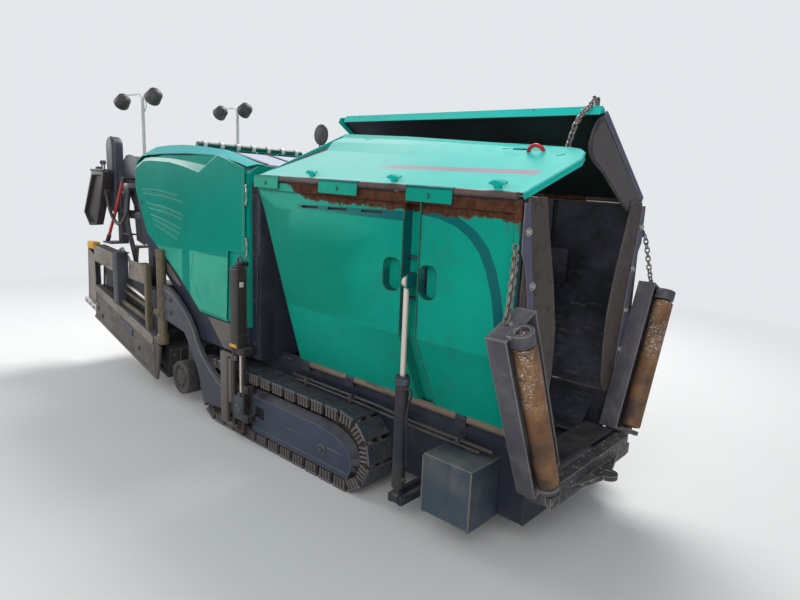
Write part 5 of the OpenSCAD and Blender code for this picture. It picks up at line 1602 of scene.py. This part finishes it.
class PAVER_OT_screed(bpy.types.Operator):
    """Screed body and walkway, sliding extensions with end plates, tow arms, augers and their drums"""

    bl_idname = "paver.screed"
    bl_label = "Screed and augers"

    def fixed_part(self):
        """Fixed part under the machine."""
        body = raised(0.003, (-0.45, -0.6, 0, 0, 0.6, 0.04))
        body += raised(0.004, (-0.45, -0.59, 0.04, -0.008, 0.59, 0.24), (-0.45, -0.6, 0.24, -0.15, 0.6, 0.33))
        body += raised(0.006, (-0.38, -0.6097, 0.33, -0.2, 0.6097, 0.48))
        ribs = [(-0.012, y - 0.006, 0.04, 0, y + 0.006, 0.24) for y in (-0.5, -0.3, -0.1, 0.1, 0.3, 0.5)]
        body += raised(0.002, *ribs)
        heads = [((-0.008, y, z), (1, 0, 0)) for y in (-0.55, -0.4, -0.2, 0.2, 0.4, 0.55)
                 for z in (0.09, 0.19)]
        body.append(put(bolts(0.024, heads), RAISED))
        body += [put(rod((-0.3, y * 0.3, 0.48), (-0.3, y * 0.44, 0.48), 0.045, 32, 0.004), RAISED)
                 for y in (-1, 1)]
        finish(body, "screed_body", "black_paint", "screed", ["screed_base"])
        deck = raised(0.003, (-1.15, -0.56, 0.33, -0.38, 0.56, 0.35))
        grip = 0.064
        deck += raised(0.0015, *[(-1.15 + grip * i, -0.55, 0.35, -1.13 + grip * i, 0.55, 0.3545)
                                 for i in range(1, 12)])
        deck += raised(0.004, *[(-1.15, y - 0.015, 0.35, -1.11, y + 0.015, 0.72) for y in (-0.405, 0.405)])
        deck.append(put(rod((-1.135, -0.4, 0.705), (-1.135, 0.4, 0.705), 0.015, 24), RAISED))
        deck.append(put(rod((-1.13, -0.4, 0.53), (-1.13, 0.4, 0.53), 0.011, 20), RAISED))
        finish(deck, "screed_walkway", "pale_brown", "screed", ["screed_deck"])

    def extensions(self):
        """Sliding extensions."""
        dark = raised(0.005, (-1, -0.59, 0, -0.4505, -0.005, 0.2), (-0.95, -0.59, 0.2, -0.56, -0.005, 0.32))
        dark += raised(0.004, (-1, -0.668, 0.02, -0.48, -0.59, 0.2), (-0.62, -0.6, 0.32, -0.57, -0.05, 0.42),
                       (-0.92, -0.6, 0.32, -0.87, -0.05, 0.42))
        dark += raised(0.003, (-1.26, -0.64, 0.04, -1, -0.06, 0.06))
        dark += [put(rod((-0.86, y, 0.36), (-0.56, y, 0.36), 0.03, 24, 0.003), RAISED)
                 for y in (-0.5, -0.3, -0.12)]
        dark += blocks(0.008, (-1.93, -0.66, 0.74, -1.7, -0.6, 0.93), (-1.6, -0.62, 0.55, -1.2, -0.57, 0.86))
        dark += blocks(0.003, (-2.07, -0.61, 0.66, -1.69, -0.6, 0.97), (-1.6, -0.6, 0.6, -1.12, -0.59, 0.84))
        dark += [rod((x, -0.63, 0.76), (x, -0.63, 0.93), 0.012, 12) for x in (-1.98, -1.9, -1.82, -1.74)]
        dark += [rod((-2.03 + 0.055 * i, -0.64, 0.7), (-2 + 0.055 * i, -0.64, 0.96), 0.009, 10)
                 for i in range(6)]
        both_sides(dark, "ext_{}_body", "black_paint", "ext_{}", ["ext_{}"])
        wall = plate([(-2.085, 0.7), (-2.14, 0.42), (-1.85, 0.345), (-0.949, 0.122), (-0.885, 0.4),
                      (-1.05, 0.44)], "Y", -0.69, -0.668, 0.003)
        skid = plate([(-2.14, 0.425), (-1.85, 0.35), (-0.949, 0.127), (-0.949, 0.15), (-1.85, 0.375),
                      (-2.134, 0.447)], "Y", -0.698, -0.688, 0.003)
        upright = block((-0.99, -0.698, 0.15), (-0.955, -0.668, 0.41), 0.004)
        both_sides([wall, skid, upright], "ext_{}_end", "brown_plate_pale", "ext_{}")
        chunk = plate([(-1.6, 0.452), (-1.36, 0.392), (-1.345, 0.452), (-1.585, 0.512)], "Y", -0.7, -0.688,
                      0.004)
        cups = [rod((x, -0.7, z), (x, -0.688, z), 0.02, 24, 0.003)
                for x, z in ((-2.06, 0.52), (-1.98, 0.46), (-1.25, 0.32))]
        both_sides([chunk, *cups], "ext_{}_blocks", "frame_paint", "ext_{}")
        beam = plate([(-2.077, 0.728), (-2.087, 0.664), (-1.041, 0.41), (-0.99, 0.398), (-0.975, 0.46),
                      (-1.035, 0.487)], "Y", -0.698, -0.69, 0.002)
        plates = [plate([(-2.078, 1.088), (-2.078, 0.95), (-1.69, 0.9), (-1.69, 1.055)],
                        "Y", -0.698, -0.69, 0.002),
                  plate([(-1.52, 1.012), (-1.12, 1.005), (-1.12, 0.84), (-1.53, 0.856)],
                        "Y", -0.632, -0.622, 0.002),
                  plate([(-2.215, 1.05), (-2.078, 1), (-2.078, 0.6), (-2.13, 0.54), (-2.26, 0.58)],
                        "Y", -0.698, -0.69, 0.002)]
        both_sides([beam, *plates], "ext_{}_plates", "pale_brown", "ext_{}")
        folded = plate([(-2.079, 0.73), (-2.075, 0.722), (-1.036, 0.48), (-0.97, 0.466), (-0.968, 0.474),
                        (-1.034, 0.49)], "Y", -0.69, -0.61, 0.001)
        post = [block((-1.69, -0.698, 0.62), (-1.6, -0.6, 1.055), 0.005),
                *blocks(0.003, (-1.7, -0.7, 1.055, -1.59, -0.59, 1.066),
                        (-2.215, -0.698, 0.62, -2.205, -0.6, 1.05)),
                plate([(-2.08, 0.95), (-2.08, 1.09), (-1.69, 1.057), (-1.69, 1.045), (-2.07, 1.078),
                       (-2.07, 0.95)], "Y", -0.69, -0.6, 0.002)]
        both_sides([folded, *post], "ext_{}_posts", "frame_paint", "ext_{}")
        corner = block((-2.217, -0.7, 1.05), (-2.08, -0.64, 1.112), 0.004)
        both_sides(corner, "ext_{}_corner", "yellow_paint", "ext_{}")
        tube = lathe([(0, 0.43), (0.044, 0.43), (0.044, 0.5), (0.035, 0.508), (0.035, 0.645), (0.043, 0.648),
                      (0.043, 0.7), (0.035, 0.703), (0.035, 1.158), (0.03, 1.163), (0, 1.16)],
                     (-0.875, -0.66, 0), 40)
        grip = [block((-0.965, -0.69, 0.655), (-0.9, -0.63, 0.693), 0.004),
                block((-0.97, -0.694, 0.425), (-0.88, -0.626, 0.475), 0.006),
                bolts(0.02, [((-0.94, -0.69, 0.674), (0, -1, 0)), ((-0.945, -0.694, 0.45), (0, -1, 0)),
                             ((-0.86, -0.7, 0.672), (0, -1, 0))])]
        rail = [block((-1.115, -0.69, 0.49), (-1.075, -0.645, 1.015), 0.004),
                block((-1.2, -0.69, 1.012), (-1.07, -0.63, 1.025), 0.003),
                plate([(-1.677, 0.678), (-1.11, 0.585), (-1.11, 0.55), (-1.677, 0.641)],
                      "Y", -0.668, -0.645, 0.003),
                plate([(-1.677, 0.76), (-1.11, 0.667), (-1.11, 0.64), (-1.677, 0.735)],
                      "Y", -0.64, -0.62, 0.003)]
        both_sides([tube, *grip, *rail], "ext_{}_tube", "brown_tube", "ext_{}", angle=40)
        bars = [rod((-2.02, -0.64, 0.93), (-1.7, -0.64, 0.86), 0.018, 24, 0.002),
                rod((-1.58, -0.62, 0.79), (-1.14, -0.62, 0.7), 0.016, 24, 0.002),
                rod((-2.15, -0.62, 0.9), (-1.95, -0.5, 1.06), 0.014, 20, 0.002),
                rod((-1.95, -0.5, 1.06), (-1.66, -0.56, 0.98), 0.014, 20, 0.002)]
        both_sides(bars, "ext_{}_rods", "zinc", "ext_{}", angle=40)
        holes = [(-1.47 + 0.08 * i, -0.8, 0.065, -1.42 + 0.08 * i, -0.5, 0.09) for i in range(3)]
        step = cut(*raised(0.004, (-1.5, -0.69, 0.055, -1.2255, -0.6, 0.1)), *raised(0, *holes))
        both_sides(step, "ext_{}_step", "pale_paint", "ext_{}")

    def tow_arms(self):
        """Tow arms."""
        web = [(0.23, 0.27), (0.06, 0.3), (-0.1, 0.375), (-0.26, 0.48), (-0.335, 0.56), (-0.392, 0.65),
               (-0.455, 0.722), (-0.526, 0.775), (-0.63, 0.84), (-0.734, 0.885), (-0.865, 0.9),
               (-0.865, 0.64), (-0.72, 0.62), (-0.52, 0.59), (-0.458, 0.52), (-0.343, 0.36), (-0.24, 0.13),
               (0.23, 0.17)]
        arm = [plate(web, "Y", -0.672, -0.652, 0.003, 2),
               cut(rod((0.23, -0.673, 0.22), (0.23, -0.6515, 0.22), 0.049, 40, 0.002),
                   rod((0.23, -1, 0.22), (0.23, 0, 0.22), 0.0203, 32))]
        arm.append(block((-0.865, -0.652, 0.65), (-0.8, -0.61, 0.8), 0.003))
        arm.append(plate([(-0.8, 0.65), (-0.8, 0.8), (-1, 0.82), (-1.23, 0.8), (-1.23, 0.48), (-1.04, 0.47),
                          (-0.96, 0.62)], "Y", -0.629, -0.61, 0.003))
        crest = [(x, z + 0.004) for x, z in web[1:11]]
        arm.append(plate(crest + [(x, z - 0.006) for x, z in reversed(web[1:11])], "Y", -0.674, -0.648,
                         0.001))
        arm.append(bolts(0.03, [((x, -0.672, z), (0, -1, 0))
                                for x, z in ((-0.72, 0.7), (-0.72, 0.8), (-0.81, 0.7), (-0.81, 0.8))]))
        both_sides(arm, "tow_arm_{}", "frame_paint", "screed", ["tow_arms"])
        bead = pipe([(x + 0.01, -0.673, z - 0.035) for x, z in web[1:11]], 0.0035, True, 2, 4)
        both_sides(bead, "tow_arm_{}_edge", "pale_brown", "screed", angle=60)

    def augers(self):
        """Augers and their drives."""
        drum = lathe([(0, -0.69), (0.05, -0.69), (0.055, -0.684), (0.06, -0.672), (0.088, -0.672),
                      (0.092, -0.684), (0.112, -0.69), (0.122, -0.686), (0.125, -0.678), (0.125, -0.568),
                      (0.12, -0.56), (0, -0.56)], (-0.56, 0, 0.235), 48, "Y")
        studs = bolts(0.02, [((-0.56 + 0.072 * cos(a), -0.674, 0.235 + 0.072 * sin(a)), (0, -1, 0))
                             for a in (0.5, 1.55, 2.6, 3.64, 4.69, 5.74)])
        hanger = blocks(0.004, (-0.6, -0.6, 0.335, -0.52, -0.565, 0.52),
                        (-0.6, -0.6, 0.5, -0.52, -0.44, 0.548))
        both_sides([drum, studs, *hanger], "auger_{}_drive", "drum_steel", "chassis",
                   ["auger_gear"], 40)
        case = [block((-0.61, -0.04, 0.12), (-0.51, 0.04, 0.56), 0.01),
                block((-0.62, -0.44, 0.5), (-0.4303, 0.44, 0.548), 0.005),
                bolts(0.02, [((-0.61, y, z), (-1, 0, 0)) for y in (-0.025, 0.025)
                             for z in (0.18, 0.3, 0.42)])]
        finish(case, "auger_case", "black_paint", "chassis")

    def execute(self, context):
        self.fixed_part()
        self.extensions()
        self.tow_arms()
        self.augers()
        return {"FINISHED"}


class PAVER_OT_front(bpy.types.Operator):
    """Ballast boxes, crossbar, bulkhead covers, hopper floor with conveyor and side fenders"""

    bl_idname = "paver.front"
    bl_label = "Front and frame"

    def execute(self, context):
        tank = block((1.79, -0.676, 0.15), (2.07, -0.4405, 0.45), 0.007, 3)
        cut(tank, block((1.8, -0.68, 0.147), (2.06, -0.44, 0.16), 0))
        lid = block((1.793, -0.673, 0.4495), (2.067, -0.4405, 0.4515), 0.001)
        seams = [pipe([(x, -0.676, 0.165), (x, -0.676, 0.44)], 0.0035, False, 2) for x in (1.79, 2.07)]
        eye = cut(rod((1.93, -0.5, 0.45), (1.93, -0.48, 0.45), 0.016, 24, 0.002),
                  rod((1.93, -0.6, 0.452), (1.93, -0.4, 0.452), 0.008, 16))
        both_sides([tank, lid, *seams, eye], "ballast_{}_box", "box_paint", "chassis",
                   ["ballast_boxes"])
        # Bulkhead: folded edges, cover plates and bolts on the side posts.
        post = [block((0.255, -0.602, 0.56), (0.262, -0.56, 1.682), 0.002),
                block((0.338, -0.602, 0.56), (0.3425, -0.5, 1.682), 0.001)]
        post += blocks(0.001, (0.265, -0.6035, 0.98, 0.335, -0.6, 0.99),
                       (0.265, -0.604, 1.28, 0.335, -0.6, 1.3))
        post.append(bolts(0.02, [((x, -0.6, z), (0, -1, 0)) for x in (0.28, 0.32)
                                 for z in (0.66, 0.94, 1.24, 1.42, 1.6)]))
        post.append(pipe([(0.33, -0.612, 1.22), (0.335, -0.614, 1.15), (0.33, -0.613, 1),
                          (0.325, -0.612, 0.86)], 0.006, True, 3))
        both_sides(post, "bulkhead_{}_edge", "bulkhead_paint", "chassis")
        # Panel under the door and the beam below it.
        panel = plate([(-0.26, 0.745), (0.14, 0.745), (0.14, 0.562), (-0.06, 0.562)], "Y", -0.6255, -0.6203,
                      0.001)
        wedge = plate([(-0.86, 1.06), (-0.8, 1.04), (-0.64, 0.92), (-0.66, 0.9), (-0.84, 0.99)], "Y", -0.6255,
                      -0.6203, 0.001)
        both_sides([panel, wedge], "fender_{}", "brown_plate_pale", "chassis")
        # Strip that closes the gap between the frame's side and the wing.
        strip = plate([(0.36, 0.556), (0.36, 0.604), (2.195, 0.604), (2.195, 0.44), (2.165, 0.4),
                       (2.06, 0.556)], "Y", -0.4445, -0.439, 0.001)
        both_sides(strip, "hopper_strip_{}", "hopper_steel", "chassis")
        # Crossbar details.
        tips = []
        for side in (-1, 1):
            tips.append(rod((2.2, side * 0.416, 0.32), (2.225, side * 0.416, 0.32), 0.024, 6, 0.002))
            tips.append(block((2.205, side * 0.44 - 0.004, 0.3), (2.3, side * 0.44 + 0.004, 0.41), 0.002))
        tips.append(bolts(0.024, [((2.3, y, 0.412), (0, 0, 1)) for y in (-0.34, 0.34)]))
        finish(tips, "crossbar_pins", "track_steel", "chassis", angle=40)
        # Conveyor chains and slats between the floor's strips.
        slats = [block((x, -0.26, 0.4185), (x + 0.02, 0.26, 0.432), 0.003)
                 for x in (0.1 + 0.16 * i for i in range(13))]
        runs = [block((-0.4, y - 0.014, 0.4185), (2.17, y + 0.014, 0.428), 0.003) for y in (-0.2, 0.2)]
        finish([*slats, *runs], "conveyor_slats", "dirty_steel", "chassis")
        return {"FINISHED"}


BACKDROP = (0.78, 0.80, 0.83, 1)


class PAVER_OT_stage(bpy.types.Operator):
    """Floor, lamps, world and the camera at the photograph's viewing angle"""

    bl_idname = "paver.stage"
    bl_label = "Stage"

    def execute(self, context):
        settings = context.scene.paver_stage
        scene = context.scene
        scene.view_settings.view_transform = "Standard"
        clear()
        bpy.ops.object.camera_add()
        camera = context.object
        camera.name = "paver_camera"
        # Right, up and back of the camera, then its place.
        camera.matrix_world = Matrix(
            (
                (0.735642, -0.153012, 0.659862, 3.427867),
                (0.676103, 0.106307, -0.729097, -2.696721),
                (0.041413, 0.98249, 0.181655, 1.663122),
                (0, 0, 0, 1),
            )
        )
        camera.data.lens = settings.lens
        camera.data.sensor_width = 36
        camera.data.clip_end = 200
        scene.camera = camera
        clear()
        bpy.ops.mesh.primitive_plane_add(size=60, location=(0, 0, -0.002))
        floor = context.object
        floor.name = "stage_floor"
        s = Shade("stage_floor_paint")
        tint = tuple(settings.floor)
        plain = s.done(s.mix(tint, darker(tint, 0.96), s.noise(0.8, 3)), 0.85, s.noise(30.0, 3), 0.0005)
        # Far from the machine the camera sees the floor in the backdrop's plain colour.
        tree = plain.node_tree
        glow = tree.nodes.new("ShaderNodeEmission")
        glow.inputs["Color"].default_value = BACKDROP
        blend = tree.nodes.new("ShaderNodeMixShader")
        path = tree.nodes.new("ShaderNodeLightPath")
        far = s.ramp(s.x * s.x + s.y * s.y, 12.0, 60.0) * Out(s, path.outputs["Is Camera Ray"])
        end = tree.nodes["Material Output"].inputs["Surface"]
        tree.links.new(far.socket, blend.inputs[0])
        tree.links.new(end.links[0].from_socket, blend.inputs[1])
        tree.links.new(glow.outputs[0], blend.inputs[2])
        tree.links.new(blend.outputs[0], end)
        floor.data.materials.append(plain)
        lamps = (
            ("key", settings.key, 4.0, (-1.5, 4.2, 7.0)),
            ("fill", settings.fill, 6.0, (4.5, -6.5, 4.2)),
            ("side", settings.fill * 0.6, 4.0, (-7.0, -3.5, 4.0)),
        )
        for name, power, size, place in lamps:
            clear()
            bpy.ops.object.light_add(type="AREA", location=place)
            lamp = context.object
            lamp.name = "lamp_" + name
            lamp.data.energy = power
            lamp.data.size = size
            lamp.rotation_euler = (Vector(place) - Vector((0, 0, 0.9))).to_track_quat("Z", "Y").to_euler()
        world = scene.world or bpy.data.worlds.new("sky")
        scene.world = world
        world.use_nodes = True
        tree = world.node_tree
        sky = tree.nodes["Background"]
        sky.inputs["Color"].default_value = (0.83, 0.89, 1.0, 1)
        sky.inputs["Strength"].default_value = settings.sky
        # What the camera and glossy paint see behind the machine is a plain pale backdrop.
        backdrop = tree.nodes.new("ShaderNodeBackground")
        backdrop.inputs["Color"].default_value = BACKDROP
        path = tree.nodes.new("ShaderNodeLightPath")
        seen = tree.nodes.new("ShaderNodeMath")
        seen.operation = "MAXIMUM"
        choice = tree.nodes.new("ShaderNodeMixShader")
        tree.links.new(path.outputs["Is Camera Ray"], seen.inputs[0])
        tree.links.new(path.outputs["Is Transmission Ray"], seen.inputs[1])
        tree.links.new(seen.outputs[0], choice.inputs[0])
        tree.links.new(sky.outputs[0], choice.inputs[1])
        tree.links.new(backdrop.outputs[0], choice.inputs[2])
        tree.links.new(choice.outputs[0], tree.nodes["World Output"].inputs["Surface"])
        return {"FINISHED"}


OPERATORS = [PAVER_OT_stage, PAVER_OT_finishes, PAVER_OT_wings, PAVER_OT_lids, PAVER_OT_rollers,
             PAVER_OT_hood, PAVER_OT_tracks, PAVER_OT_cylinders, PAVER_OT_rear, PAVER_OT_screed,
             PAVER_OT_front]


class PAVER_PT_panel(bpy.types.Panel):
    """List of the paver's pieces and settings"""

    bl_label = "Paver"
    bl_idname = "PAVER_PT_panel"
    bl_space_type = "VIEW_3D"
    bl_region_type = "UI"
    bl_category = "Paver"

    def draw(self, context):
        for maker in OPERATORS:
            self.layout.operator(maker.bl_idname)
        for group in (context.scene.paver_colours, context.scene.paver_sizes, context.scene.paver_stage):
            box = self.layout.box()
            for key in group.__annotations__:
                box.prop(group, key)


CLASSES = [PaverColours, PaverSizes, PaverStage, PAVER_PT_panel]


def register():
    for entry in CLASSES + OPERATORS:
        bpy.utils.register_class(entry)
    bpy.types.Scene.paver_colours = PointerProperty(type=PaverColours)
    bpy.types.Scene.paver_sizes = PointerProperty(type=PaverSizes)
    bpy.types.Scene.paver_stage = PointerProperty(type=PaverStage)


def unregister():
    del bpy.types.Scene.paver_colours, bpy.types.Scene.paver_sizes, bpy.types.Scene.paver_stage
    for entry in reversed(CLASSES + OPERATORS):
        bpy.utils.unregister_class(entry)


def main():
    register()
    for maker in OPERATORS:
        group, name = maker.bl_idname.split(".")
        getattr(getattr(bpy.ops, group), name)()
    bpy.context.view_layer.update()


if __name__ == "__main__":
    main()
